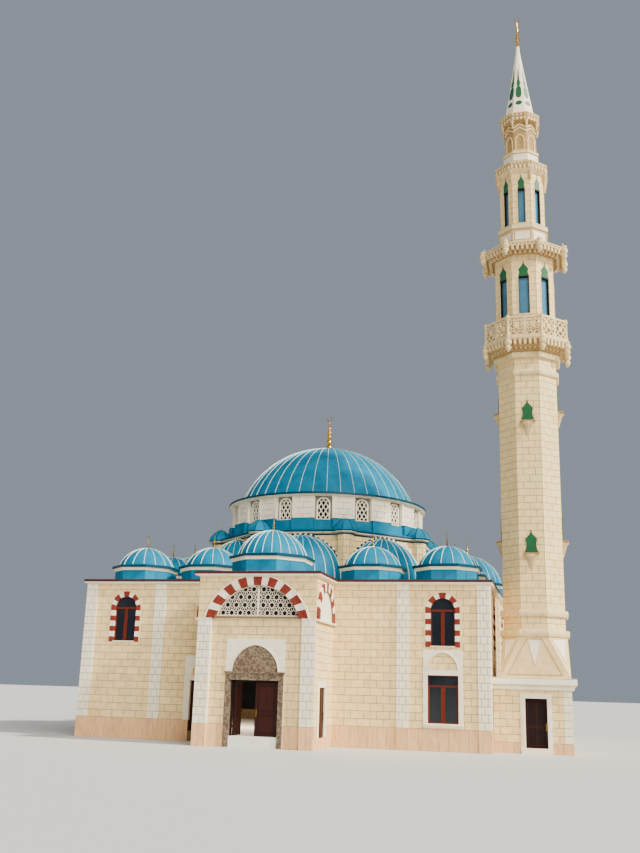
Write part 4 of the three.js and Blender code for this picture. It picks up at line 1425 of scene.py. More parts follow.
@dataclass
class Portal:
    """The projecting entrance: piers, banded arch, star lattice and panelled doorway.

    Args:
        half: half the portal's width.
        front: y of the piers' face.
        recess: y of the recessed panel.
        pier: width of each pier.
        centre: height of the arch's centre.
        radii: inner and outer radius of the arch stones.
        spring: where the arch begins.
        stones: arch stones, odd.
        head: where the slabs end below the cornice.
        foot: top of the travertine foot.
        door: half width and top of the doorway.
        floor: height of the floor; not used.
        panel: half width and top of the pale panel.
        marble: outer half width and top of the marble frame.
        blind: half width, foot and apex of the marble-filled arch.
        wall_back: y where the portal meets the hall.
    """

    half: float = 2.71
    front: float = -12.865
    recess: float = -12.715
    pier: float = 0.61
    centre: float = 4.87
    radii: Flat = (2.06, 2.45)
    spring: float = 5.45
    stones: int = 17
    head: float = 7.36
    foot: float = 0.943
    door: Flat = (1.1, 2.82)
    floor: float = 0.467
    panel: Flat = (1.34, 4.56)
    marble: Flat = (1.31, 3.1)
    blind: tuple[float, float, float] = (1.05, 3.14, 4.31)
    wall_back: float = -9.52

    def build(self) -> None:
        """Builds the portal's pieces."""
        for node in ("portal_pier_left", "portal_pier_right", "portal_head", "portal_wall_left",
                     "portal_wall_right"):
            dress(node, MORTAR)
        self._front_slabs()
        self._arch()
        self._doorway()
        self._sides()
        StarLattice().build()

    def _front_slabs(self) -> None:
        """Lays the slabs round the arch, in the recess and on the piers."""
        front, back = Facet(0.0, self.front, -90), Facet(0.0, self.recess, -90)
        slabs, piers, foot = Draft(21), Draft(22), Draft(23)
        outer = arc((0.0, self.centre), self.radii[1] - 0.02, *self._span(self.radii[1]), 18)
        span = (-self.half - 0.012, self.half + 0.012)
        Coursing().lay(slabs, front, span, (self.spring, self.head), holes=[outer])
        inner = self.half - self.pier
        wide, top = self.panel
        gap = rectangle(-wide + 0.02, wide - 0.02, 0.0, top - 0.02)
        Coursing().lay(slabs, back, (-inner, inner), (self.foot, self.spring), holes=[gap])
        foot_panels(self.foot).lay(foot, back, (-inner, inner), (0.0, self.foot), holes=[gap])
        stone = 0.3
        for side in (-1, 1):
            ends = ends_on(side, inner - 0.01, self.half + 0.012)
            Coursing(length=stone).lay(piers, front, ends, (self.foot, self.spring), depth=0.15)
            foot_panels(self.foot, stone).lay(foot, front, ends, (0.0, self.foot), depth=0.15)
            ledge = ends_on(side, inner - 0.03, self.half + 0.03)
            piers.slab(front, *ledge, self.spring - 0.04, self.spring + 0.01, -0.2, 0.035)
            cheek = Facet(side * inner, (self.front + self.recess) / 2, 90 + 90 * side)
            piers.slab(cheek, -0.08, 0.08, self.foot, self.spring, -0.02, 0.02)
        slabs.piece("portal_slabs", LIMESTONE)
        piers.piece("portal_piers", CAST_STONE)
        foot.piece("portal_foot", TRAVERTINE)

    def _span(self, radius: float) -> Flat:
        """Returns the degrees at which a circle of the arch meets the spring."""
        start = math.degrees(math.asin((self.spring - self.centre) / radius))
        return start, 180.0 - start

    def _arch(self) -> None:
        """Builds the red and white arch stones, the thin hood line and the sill."""
        facet = Facet(0.0, self.front, -90)
        red, white = Draft(24), Draft(25)
        inner, outer = self.radii[0] - 0.01, self.radii[1]
        banded_arch(facet, (0.0, self.centre), (inner, outer), (self._span(inner), self._span(outer)),
                    self.stones, red, white, -0.23, 0.035)
        lines = [arc((0.0, self.centre), r, *self._span(r), 48) for r in (outer, outer + 0.05)]
        white.band(facet, *lines, -0.01, 0.06)
        edge = math.sqrt(inner**2 - (self.spring - self.centre) ** 2)
        white.slab(facet, -edge, edge, self.spring - 0.02, self.spring + 0.1, -0.2, -0.05)
        red.piece("portal_arch_red_stones", RED_STONE, replaces=["portal_arch"])
        white.piece("portal_arch_pale_stones", CAST_STONE)

    def _doorway(self) -> None:
        """Builds the pale panel, the marble frame and the marble-filled blind arch."""
        facet = Facet(0.0, self.recess, -90)
        wide, top = self.panel
        frame_wide, frame_top = self.marble
        door_half, door_top = self.door
        pale, marble = Draft(26), Draft(27)
        pale.pair(facet, frame_wide - 0.02, wide, 0.0, frame_top, -0.01, 0.045)
        marble.pair(facet, door_half - 0.01, frame_wide, 0.0, frame_top, -0.13, 0.05)
        marble.pair(facet, frame_wide - 0.04, frame_wide + 0.02, 0.0, frame_top + 0.03, 0.0, 0.07)
        for part in cut_out(rectangle(-wide, wide, frame_top, top), pointed_arch(*self.blind, 16)):
            pale.prism(facet, part, -0.01, 0.045)
        marble.slab(facet, -door_half, door_half, door_top - 0.01, frame_top, -0.13, 0.07)
        marble.slab(facet, -frame_wide - 0.06, frame_wide + 0.06, frame_top, frame_top + 0.07, 0.0, 0.12)
        marble.prism(facet, pointed_arch(self.blind[0] + 0.03, frame_top, self.blind[2] + 0.03, 16),
                     -0.01, 0.012)
        rim = pointed_arch(self.blind[0] + 0.05, self.blind[1], self.blind[2] + 0.06, 16)
        pale.band(facet, pointed_arch(*self.blind, 16), rim, 0.0, 0.065)
        pale.piece("doorway_panel", CAST_STONE)
        marble.piece("doorway_marble", MARBLE)

    def _sides(self) -> None:
        """Lays the slabs and the banded arch on both cheeks."""
        middle = (self.front + self.wall_back) / 2
        reach = (self.wall_back - self.front) / 2
        slabs, foot, red, white = Draft(31), Draft(32), Draft(33), Draft(34)
        arch = SideArch()
        for side in (-1, 1):
            facet = Facet(side * self.half, middle, 90 - 90 * side)
            door = arch.gap(middle) if side > 0 else []
            edge = arch.radii[1] - 0.02
            disc = [(-edge, arch.spring), (edge, arch.spring)] + arc((0.0, arch.centre), edge, 0, 180, 14)
            Coursing().lay(slabs, facet, (-reach, reach), (self.foot, self.head), holes=[disc] + door)
            foot_panels(self.foot).lay(foot, facet, (-reach, reach), (0.0, self.foot), holes=door)
            arch.add(facet, red, white)
        arch.doorway(Facet(self.half, middle, 0), middle, white)
        slabs.piece("portal_cheek_slabs", LIMESTONE)
        foot.piece("portal_cheek_foot", TRAVERTINE)
        red.piece("portal_cheek_red_stones", RED_STONE)
        white.piece("portal_cheek_pale_stones", CAST_STONE)


def banded_arch(facet: Facet, centre: Flat, radii: Flat, spans: tuple[Flat, Flat], stones: int,
                red: Draft, white: Draft, back: float, front: float) -> None:
    """Adds arch stones that are red and white by turns, red at both ends.

    Args:
        facet: the wall's face.
        centre: centre of the arch.
        radii: its inner and outer radius.
        spans: degrees that the inner and the outer circle run through.
        stones: how many stones, odd.
        red: takes the red stones.
        white: takes the pale stones.
        back: depth of the stones' back.
        front: how far they stand out.
    """
    red_share, joint = 1.25, 0.12
    whole = stones // 2 + (stones // 2 + 1) * red_share
    low = 0.0
    for i in range(stones):
        draft, wide = (white, 1.0) if i % 2 else (red, red_share)
        high = low + wide / whole
        lines = []
        for radius, (start, end) in zip(radii, spans):
            first, last = start + low * (end - start), start + high * (end - start)
            lines.append(arc(centre, radius, first + joint, last - joint, 4))
        draft.band(facet, *lines, back, front, draft.random.gauss(0, TONE_SPREAD))
        low = high


@dataclass(frozen=True)
class SideArch:
    """The blind arch on a cheek of the portal, over a side door on the right.

    Args:
        centre: height of its centre.
        radii: inner and outer radius of its stones.
        spring: foot of its straight part.
        stones: how many stones.
        proud: how far they stand out.
        door: y of the door's near and far side, and its top.
        surround: width of the pale stones round the door.
        floor: foot of the door.
    """

    centre: float = 5.56
    radii: Flat = (1.24, 1.62)
    spring: float = 5.45
    stones: int = 13
    proud: float = 0.105
    door: tuple[float, float, float] = (-12.0, -10.9, 2.59)
    surround: float = 0.22
    floor: float = 0.467

    def add(self, facet: Facet, red: Draft, white: Draft) -> None:
        """Adds the ring, its sill and its pale infill.

        Args:
            facet: the cheek's face.
            red: takes the red stones.
            white: takes the pale stones.
        """
        whole = (0.0, 180.0)
        banded_arch(facet, (0.0, self.centre), self.radii, (whole, whole), self.stones, red, white,
                    -0.01, self.proud)
        red.pair(facet, *self.radii, self.spring, self.centre, -0.01, self.proud)
        white.slab(facet, -self.radii[1] - 0.05, self.radii[1] + 0.05, self.spring - 0.08, self.spring,
                   0.0, self.proud + 0.04)
        inner = self.radii[0] + 0.01
        fill = [(-inner, self.spring), (inner, self.spring)] + arc((0.0, self.centre), inner, 0, 180, 24)
        white.prism(facet, fill, -0.01, 0.016)

    def gap(self, middle: float) -> list[list[Flat]]:
        """Returns the outline that the slabs leave free for the door.

        Args:
            middle: y of the cheek's middle.

        Returns:
            The outline, in a list of its own.
        """
        near, far, top = self.door
        edge = self.surround - 0.02
        return [rectangle(near - middle - edge, far - middle + edge, self.floor, top + edge)]

    def doorway(self, facet: Facet, middle: float, white: Draft) -> None:
        """Adds the pale surround of the side door.

        Args:
            facet: the cheek's face.
            middle: y of the cheek's middle.
            white: takes the pale stones.
        """
        near, far, top = self.door[0] - middle, self.door[1] - middle, self.door[2]
        wide = self.surround
        white.slab(facet, near - wide, near + 0.008, self.floor, top, -0.16, 0.04)
        white.slab(facet, far - 0.008, far + wide, self.floor, top, -0.16, 0.04)
        white.slab(facet, near - wide, far + wide, top - 0.008, top + wide, -0.16, 0.04)


@dataclass(frozen=True)
class StarLattice:
    """The pierced star screen of the portal's arched light.

    Args:
        y: front face of the screen.
        depth: its thickness.
        centre: height of the arch's centre.
        radius: of the arch that it fills.
        foot: its lower edge.
        pitch: spacing of the stars.
        sill: half the width of the bar at its foot.
        hole: radius of a star's middle.
        rim: outer radius of its ring.
        web: half the width of a bar.
    """

    y: float = -12.655
    depth: float = 0.04
    centre: float = 4.87
    radius: float = 2.06
    foot: float = 5.54
    pitch: float = 0.4
    sill: float = 1.93
    hole: float = 0.112
    rim: float = 0.148
    web: float = 0.014

    def build(self) -> None:
        """Builds the screen and the pane behind it."""
        facet = Facet(0.0, self.y, -90)
        screen = Draft(41)
        start = math.degrees(math.asin((self.foot - self.centre) / self.radius))
        lines = []
        for radius in (self.radius - 0.05, self.radius):
            lines.append(arc((0.0, self.centre), radius, start - 1, 181 - start, 40))
        screen.band(facet, *lines, -self.depth, 0.012)
        screen.slab(facet, -self.sill, self.sill, self.foot - 0.02, self.foot + 0.04, -self.depth, 0.012)
        screen.slab(facet, -0.05, 0.05, self.foot, self.centre + self.radius - 0.02, -self.depth, 0.012)
        whole = []
        for side in (-1, 1):
            for along, height in self._spots():
                if self._fits(along, height):
                    whole.append((side * along, self.y, height))
                else:
                    self._cut_star(screen, facet, side, along, height)
        screen.absorb(Repeater.shared().scatter(self._star(), whole, CAST_STONE))
        screen.piece("portal_star_lattice", CAST_STONE, replaces=["portal_lattice"])
        pane = Draft(42)
        pane.prism(facet, arc((0.0, self.centre), self.radius, start - 2, 182 - start, 32), -0.2, -0.18)
        pane.piece("portal_light_pane", DARK_GLASS)

    def _spots(self) -> list[Flat]:
        """Returns the middles of the stars that touch the right half of the light.

        Returns:
            Their places as (along, height).
        """
        found = []
        for row in range(-1, 5):
            height = self.foot + 0.16 + row * self.pitch * math.sqrt(3) / 2
            for k in range(6):
                along = 0.03 + (k + 0.5 * (row % 2)) * self.pitch
                if math.hypot(along, height - self.centre) < self.radius + self.rim:
                    found.append((along, height))
        return found

    def _fits(self, along: float, height: float) -> bool:
        """Returns whether a star lies wholly inside the right half of the light.

        Args:
            along: place of the star.
            height: place of the star.

        Returns:
            Whether it is whole.
        """
        reach = self.pitch / math.sqrt(3)
        inside = math.hypot(along, height - self.centre) + reach < self.radius - 0.03
        return inside and along > reach and height > self.foot + self.rim

    def _outlines(self) -> list[list[Flat]]:
        """Returns a star's convex parts: its ring's sides, six long spokes and six short ones.

        Returns:
            Outlines round the star's own zero.
        """
        inner, outer = [arc((0.0, 0.0), r, 30, 390, 6) for r in (self.hole, self.rim)]
        parts = [[inner[i], outer[i], outer[i + 1], inner[i + 1]] for i in range(6)]
        spokes = [(30 + 60 * k, self.pitch / math.sqrt(3) + 0.01, self.web) for k in range(6)]
        spokes += [(turn, self.pitch / 2, self.web * 0.8) for turn in range(0, 360, 60)]
        for turn, reach, half in spokes:
            cos, sin = math.cos(math.radians(turn)), math.sin(math.radians(turn))
            corners = ((self.rim - 0.025, -half), (reach, -half), (reach, half), (self.rim - 0.025, half))
            parts.append([(cos * r - sin * e, sin * r + cos * e) for r, e in corners])
        return parts

    def _cut_star(self, draft: Draft, facet: Facet, side: int, along: float, height: float) -> None:
        """Adds what one half of the light shows of a star at its edge.

        Args:
            draft: takes what shows.
            facet: the screen's face.
            side: -1 for the left half, 1 for the right one.
            along: place of the star.
            height: place of the star.
        """
        edge = self.radius - 0.03
        start = math.degrees(math.asin((self.foot - self.centre) / edge))
        limits = [(0.04, self.foot)] + arc((0.0, self.centre), edge, start, 89.0, 12)
        for part in self._outlines():
            outline = clip_to([(along + u, height + v) for u, v in part], limits)
            if side < 0:
                outline = [(-u, v) for u, v in reversed(outline)]
            if outline:
                draft.prism(facet, outline, -self.depth, 0.0)

    def _star(self) -> Draft:
        """Returns one whole star.

        Returns:
            A draft round the star's own zero.
        """
        draft = Draft()
        for part in self._outlines():
            draft.prism(Facet(0.0, 0.0, -90), part, -self.depth, 0.0)
        return draft


# Roof


@dataclass
class Eaves:
    """The flat roof's edge: a small cove on the walls and an oxide-red fascia.

    Args:
        half_width: centre to side wall.
        half_depth: centre to front wall.
        portal: half width and front of the portal.
        overhang: of the roof slab.
        top: of the roof slab.
        wall_top: of the walls.
    """

    half_width: float = 9.88
    half_depth: float = 9.52
    portal: Flat = (2.71, -12.865)
    overhang: float = 0.18
    top: float = 7.5
    wall_top: float = 7.36

    def path(self) -> list[Flat]:
        """Returns the walls' outline, counter-clockwise from above.

        Returns:
            The corners.
        """
        x, y = self.half_width, self.half_depth
        px, py = self.portal
        return [(-x, -y), (-px, -y), (-px, py), (px, py), (px, -y), (x, -y), (x, y), (-x, y)]

    def build(self) -> None:
        """Builds the cove and the fascia."""
        dress("roof_slab", ROOF_DECK)
        over, top, wall = self.overhang, self.top, self.wall_top
        cove, fascia = Draft(), Draft()
        cove.ring(self.path(), [(-0.02, wall - 0.08), (0.05, wall - 0.08), (0.07, wall - 0.045),
                                (over + 0.016, wall - 0.02), (over + 0.016, wall + 0.045),
                                (-0.02, wall + 0.045)])
        fascia.ring(self.path(), [(over - 0.06, wall + 0.03), (over + 0.03, wall + 0.03),
                                  (over + 0.03, top + 0.012), (over - 0.06, top + 0.012)])
        cove.piece("eaves_cove", CAST_STONE)
        fascia.piece("eaves_fascia", FASCIA)


@dataclass(frozen=True)
class Finial:
    """A gilt finial: beads on a rod under a crescent.

    Args:
        height: from its foot to the crescent's tips.
        beads: radius and height of each bead, as shares of the whole height.
        crescent: radius of the crescent, as a share of the height.
    """

    height: float
    beads: tuple[Flat, ...] = ((0.088, 0.09), (0.08, 0.25), (0.07, 0.395), (0.06, 0.52), (0.05, 0.63))
    crescent: float = 0.075

    def add(self, draft: Draft, x: float, y: float, foot: float, segments: int = 16) -> None:
        """Adds the finial to a draft.

        Args:
            draft: takes the finial.
            x: of its axis.
            y: of its axis.
            foot: height of its foot.
            segments: sides of its round parts.
        """
        high = self.height
        profile: list[Flat] = [(0.0, foot), (0.07 * high, foot), (0.04 * high, foot + 0.02 * high)]
        for radius, level in self.beads:
            for turn in (-60, -30, 0, 30, 60):
                angle = math.radians(turn)
                profile.append((radius * high * math.cos(angle),
                                foot + (level + radius * 0.85 * math.sin(angle)) * high))
            profile.append((0.03 * high, foot + (level + radius * 0.95) * high))
        rod_top = foot + (1 - 2.1 * self.crescent) * high
        profile += [(0.016 * high, rod_top), (0.0, rod_top + 0.01 * high)]
        draft.lathe(profile, segments, (x, y))
        radius = self.crescent * high
        middle = (0.0, foot + high - radius * 1.05)
        outer = arc(middle, radius, -240, 60, 20)
        lift = (0.0, middle[1] + radius * 0.13)
        inner = arc(lift, radius * 0.8, -238, 58, 20)
        thick = radius * 0.12
        draft.band(Facet(x, y, -90), inner, outer, -thick, thick)


@dataclass(frozen=True)
class RoofDome:
    """A small ribbed dome on an eight-sided drum.

    Args:
        drum: apothem of the drum.
        eave: apothem of the eave.
        levels: foot, underside of the pale band, underside of the eave and spring of the dome.
        radius: of the dome at its spring.
        apex: its top.
        finial: height of its finial.
        ribs: how many seams climb it.
    """

    drum: float
    eave: float
    levels: tuple[float, float, float, float]
    radius: float
    apex: float
    finial: float
    ribs: int = 20

    def outline(self, steps: int) -> list[Flat]:
        """Returns the (radius, height) line of the dome, upwards to the apex.

        Args:
            steps: straight pieces of the line.

        Returns:
            The points.
        """
        spring = self.levels[3]
        rise = self.apex - spring
        circle = (self.radius**2 + rise**2) / (2 * rise)
        centre = self.apex - circle
        start = math.asin(self.radius / circle)
        turns = [start * (1 - i / steps) for i in range(steps + 1)]
        return [(circle * math.sin(a), centre + circle * math.cos(a)) for a in turns]

    def sheet(self, draft: Draft, centre: Flat) -> None:
        """Adds the drum, the sloping eave and the dome.

        Args:
            draft: takes the sheet.
            centre: where the dome's axis stands.
        """
        foot, band, eave, spring = self.levels
        draft.octagon([(0.0, foot), (self.drum, foot), (self.drum, band + 0.05), (0.0, band + 0.05)],
                      centre)
        draft.octagon([(0.0, eave + 0.1), (self.eave - 0.01, eave + 0.1),
                       (self.radius - 0.06, spring + 0.02), (0.0, spring + 0.02)], centre)
        draft.lathe([(0.0, spring - 0.03), (self.radius, spring - 0.03)] + self.outline(12)[:-1]
                    + [(0.0, self.apex)], 48, centre)

    def band(self, draft: Draft, centre: Flat) -> None:
        """Adds the pale band under the eave and the pale flashing at the foot.

        Args:
            draft: takes the band.
            centre: where the dome's axis stands.
        """
        foot, band, eave, _ = self.levels
        core = self.drum - 0.1
        wide = (self.drum + self.eave) / 2
        draft.octagon([(core, band - 0.02), (self.drum + 0.03, band - 0.02), (self.drum + 0.05, band + 0.02),
                       (wide, eave - 0.04), (wide + 0.03, eave + 0.01), (core, eave + 0.01)], centre, True)
        draft.octagon([(core, foot), (self.drum + 0.04, foot), (self.drum + 0.04, foot + 0.06),
                       (self.drum + 0.005, foot + 0.085), (core, foot + 0.085)], centre, True)

    def edge(self, draft: Draft, centre: Flat) -> None:
        """Adds the folded edge of the eave.

        Args:
            draft: takes the edge.
            centre: where the dome's axis stands.
        """
        eave = self.levels[2]
        draft.octagon([(self.eave - 0.12, eave), (self.eave, eave), (self.eave + 0.01, eave + 0.12),
                       (self.eave - 0.01, eave + 0.135), (self.eave - 0.12, eave + 0.14)], centre, True)

    def rib_item(self) -> Draft:
        """Returns one seam, drawn at +X.

        Returns:
            A draft round the dome's own axis.
        """
        draft = Draft()
        draft.rib(self.outline(12)[:-1], 0.034, 0.028)
        return draft

    def fold_item(self) -> Draft:
        """Returns the fold on one face of the drum, drawn at +X.

        Returns:
            A draft round the dome's own axis.
        """
        draft = Draft()
        foot, band, _, _ = self.levels
        draft.slab(Facet(self.drum, 0.0, 0), -0.012, 0.012, foot + 0.05, band, -0.01, 0.02)
        return draft


class RoofDomes:
    """All the small domes of the flat roof.

    wing, portal and flank are its three sizes, and the numbers after them place the domes' axes.
    """

    foot = 7.5
    wing = RoofDome(1.44, 1.6, (foot, 8.09, 8.2, 8.37), 1.4, 9.34, 0.7, 15)
    portal = RoofDome(1.72, 1.86, (foot, 8.13, 8.25, 8.43), 1.64, 9.66, 0.7, 24)
    flank = RoofDome(1.9, 2.06, (foot, 8.02, 8.13, 8.31), 1.84, 9.86, 0.8, 24)
    corner_x, inner_x, front_y, side_y, flank_x, rear_y = 7.81, 4.143, -7.43, 3.94, 8.08, 7.6
    portal_y = -10.76

    def rows(self) -> dict[str, list[tuple[RoofDome, Flat]]]:
        """Returns the domes of each CAD row.

        Returns:
            Each dome with its place, by CAD node.
        """
        rows = {"portal_dome": [(self.portal, (0.0, self.portal_y))]}
        for side, label in ((-1, "left"), (1, "right")):
            rows[f"{label}_front_domes"] = [
                (self.wing, (side * x, self.front_y)) for x in (self.inner_x, self.corner_x)]
            rows[f"{label}_side_domes"] = [
                (self.wing, (side * self.corner_x, -self.side_y)), (self.flank, (side * self.flank_x, 0.0)),
                (self.wing, (side * self.corner_x, self.side_y))]
        rear = [(side * x, -self.front_y) for x in (self.inner_x, self.corner_x) for side in (-1, 1)]
        rows["rear_domes"] = [(self.wing, place) for place in rear + [(0.0, self.rear_y)]]
        return rows

    def build(self) -> None:
        """Builds each row's sheet, and the ribs, bands, edges and finials of all of them."""
        repeat = Repeater.shared()
        ribs = {dome: repeat.ring(dome.rib_item(), dome.ribs, SEAM_CAP)
                for dome in (self.wing, self.portal, self.flank)}
        folds = {dome: repeat.ring(dome.fold_item(), 8, ROOF_SHEET) for dome in ribs}
        caps, bands, edges, gilt = Draft(), Draft(), Draft(), Draft()
        for node, domes in self.rows().items():
            sheet = Draft()
            for dome, centre in domes:
                dome.sheet(sheet, centre)
                sheet.absorb(folds[dome], (*centre, 0.0))
                dome.band(bands, centre)
                dome.edge(edges, centre)
                caps.absorb(ribs[dome], (*centre, 0.0))
                Finial(dome.finial * 1.05).add(gilt, *centre, dome.apex - 0.03, 10)
            sheet.piece(f"{node}_sheet", ROOF_SHEET, replaces=[node])
        caps.piece("roof_dome_seams", SEAM_CAP)
        bands.piece("roof_dome_bands", CAST_STONE)
        edges.piece("roof_dome_edges", EDGE_TRIM)
        gilt.piece("roof_dome_finials", GILT)


@dataclass
class Tier:
    """The eight-sided tier with its corner turrets, semi-domes and sheet roof.

    Args:
        apothem: of its walls.
        foot: where they stand on the roof.
        cornice: underside of the cornice.
        top: of the cornice.
        lip: how far the cornice stands out.
        turret_at: distance of the turrets from the axis.
        turret: apothem of a turret's pillar.
        cap: apothem and apex of a turret's cap.
        skirt: radius and top of the sheet skirt round the drum.
        inner: where the sheet ends under the drum, from the axis.
        slabs: half width and foot of the slabs on each wall.
    """

    apothem: float = 5.714
    foot: float = 7.5
    cornice: float = 10.33
    top: float = 10.45
    lip: float = 0.15
    turret_at: float = 6.1
    turret: float = 0.4
    cap: Flat = (0.64, 11.12)
    skirt: Flat = (5.64, 11.12)
    inner: float = 5.3
    slabs: Flat = (1.98, 7.9)

    def build(self) -> None:
        """Builds the tier's pieces."""
        dress("octagon_tier", MORTAR)
        repeat = Repeater.shared()
        stones = Draft(51)
        half, foot = self.slabs
        for facet in octagon_facets(0.0, 0.0, self.apothem):
            Coursing().lay(stones, facet, (-half, half), (foot, self.cornice))
        stones.absorb(repeat.ring(self._pillar(), 8, LIMESTONE, HALF_EIGHTH))
        stones.piece("tier_slabs", LIMESTONE)
        self._all_round(self._lip, "tier_cornice", CAST_STONE)
        # Painted shade: a dark teal strip under the cornice's lip.
        self._all_round(self._shade_strip, "tier_cornice_trim", EDGE_TRIM)
        self._roof(repeat)
        SemiDome().build(repeat)

    def _pillar(self) -> Draft:
        """Returns the slabs of one turret's pillar, drawn at +X.

        Returns:
            A draft round the tier's axis.
        """
        draft = Draft(52)
        half = self.turret * HALF_SIDE
        for facet in octagon_facets(self.turret_at, 0.0, self.turret):
            Coursing(length=2 * half).lay(draft, facet, (-half, half), (self.foot, self.cornice))
        return draft

    def _all_round(self, moulding: Callable[[Draft, Flat, float], None], name: str,
                   finish: Finish) -> None:
        """Makes a moulding round the tier and round its eight turrets one piece.

        Args:
            moulding: adds it to a draft round an octagon of a centre and an apothem.
            name: the piece's name.
            finish: its material.
        """
        whole, one = Draft(), Draft()
        moulding(whole, (0.0, 0.0), self.apothem)
        moulding(one, (self.turret_at, 0.0), self.turret)
        whole.absorb(Repeater.shared().ring(one, 8, finish, HALF_EIGHTH))
        whole.piece(name, finish)

    def _lip(self, draft: Draft, centre: Flat, half: float) -> None:
        """Adds the moulded pale cornice round an octagon.

        Args:
            draft: takes the cornice.
            centre: the octagon's axis.
            half: its apothem.
        """
        low, high, out = self.cornice, self.top, half + self.lip
        draft.octagon([(half - 0.05, low - 0.02), (half + 0.08, low - 0.02), (out - 0.02, low + 0.01),
                       (out + 0.006, low + 0.03), (out + 0.006, high - 0.03), (half - 0.05, high - 0.03)],
                      centre, True)

    def _shade_strip(self, draft: Draft, centre: Flat, half: float) -> None:
        """Adds a dark teal strip under the cornice of an octagon: painted shade for the shadow line beneath
        its lip.

        Args:
            draft: takes the trim.
            centre: the octagon's axis.
            half: its apothem.
        """
        low = self.cornice
        draft.octagon([(half - 0.05, low - 0.09), (half + 0.045, low - 0.09), (half + 0.075, low - 0.02),
                       (half - 0.05, low - 0.02)], centre, True)

    def _edge(self, draft: Draft, centre: Flat, half: float) -> None:
        """Adds the folded edge of the sheet over the cornice of an octagon.

        Args:
            draft: takes the edge.
            centre: the octagon's axis.
            half: its apothem.
        """
        out, top = half + self.lip + 0.03, self.top
        draft.octagon([(out - 0.1, top - 0.045), (out, top - 0.045), (out + 0.01, top + 0.01),
                       (out - 0.005, top + 0.055), (out - 0.1, top + 0.06)], centre, True)

    def _roof(self, repeat: Repeater) -> None:
        """Builds the sheet apron, the stepped skirt, the turret caps and their edges.

        Args:
            repeat: the repeater.
        """
        sheet, tip = Draft(), Draft()
        rim, top, inner = self.apothem + self.lip + 0.03, self.top, self.inner
        radius, high = self.skirt
        sheet.octagon([(inner, top - 0.02), (rim - 0.01, top - 0.02), (rim - 0.01, top + 0.05),
                       (self.apothem - 0.05, top + 0.14), (inner, top + 0.14)], (0.0, 0.0), True)
        sheet.lathe([(inner, top), (radius - 0.07, top), (radius - 0.09, high - 0.02),
                     (inner, high - 0.02)], 96, closed=True)
        sheet.absorb(repeat.ring(self._skirt_box(), 16, ROOF_SHEET))
        sheet.absorb(repeat.ring(self._cap(), 8, ROOF_SHEET, HALF_EIGHTH))
        sheet.piece("tier_roof_sheet", ROOF_SHEET, replaces=["tier_roof"])
        self._all_round(self._edge, "tier_roof_edges", EDGE_TRIM)
        Finial(0.36, ((0.07, 0.12),), 0.16).add(tip, self.turret_at, 0.0, self.cap[1] - 0.03, 8)
        for item, name, finish in ((self._cap_ridges(), "turret_cap_seams", EDGE_TRIM),
                                   (tip, "turret_finials", GILT)):
            piece_of(repeat.ring(item, 8, finish, HALF_EIGHTH), name, finish)

    def _skirt_box(self) -> Draft:
        """Returns the boxed-out sheet under one pier of the drum, drawn at +X.

        Returns:
            A draft round the tier's axis.
        """
        draft = Draft()
        radius, high = self.skirt
        draft.slab(Facet(radius, 0.0, 0), -0.61, 0.61, self.top, high + 0.05, -0.25, 0.0)
        draft.slab(Facet(radius, 0.0, 0), -0.62, 0.62, high + 0.05, high + 0.075, -0.25, 0.012)
        return draft

    def _cap_profile(self) -> list[Flat]:
        """Returns the (apothem, height) line of a turret's cap.

        Returns:
            The points, upwards.
        """
        eave, apex = self.cap
        rise = apex - self.top
        shares = ((1.0, 0.05), (0.93, 0.24), (0.8, 0.44), (0.62, 0.63), (0.4, 0.8), (0.2, 0.93))
        return [(eave * r, self.top + rise * h) for r, h in shares]

    def _cap(self) -> Draft:
        """Returns one turret's cap, drawn at +X.

        Returns:
            A draft round the tier's axis.
        """
        draft = Draft()
        eave, apex = self.cap
        draft.octagon([(0.0, self.top), (eave, self.top)] + self._cap_profile() + [(0.0, apex)],
                      (self.turret_at, 0.0))
        return draft

    def _cap_ridges(self) -> Draft:
        """Returns the seams on the ridges of one turret's cap, drawn at +X.

        Returns:
            A draft round the tier's axis.
        """
        draft = Draft()
        line = [(r * TO_CORNER, z) for r, z in self._cap_profile()]
        for k in range(8):
            draft.rib(line, 0.03, 0.016, (self.turret_at, 0.0), HALF_EIGHTH + EIGHTH * k)
        return draft


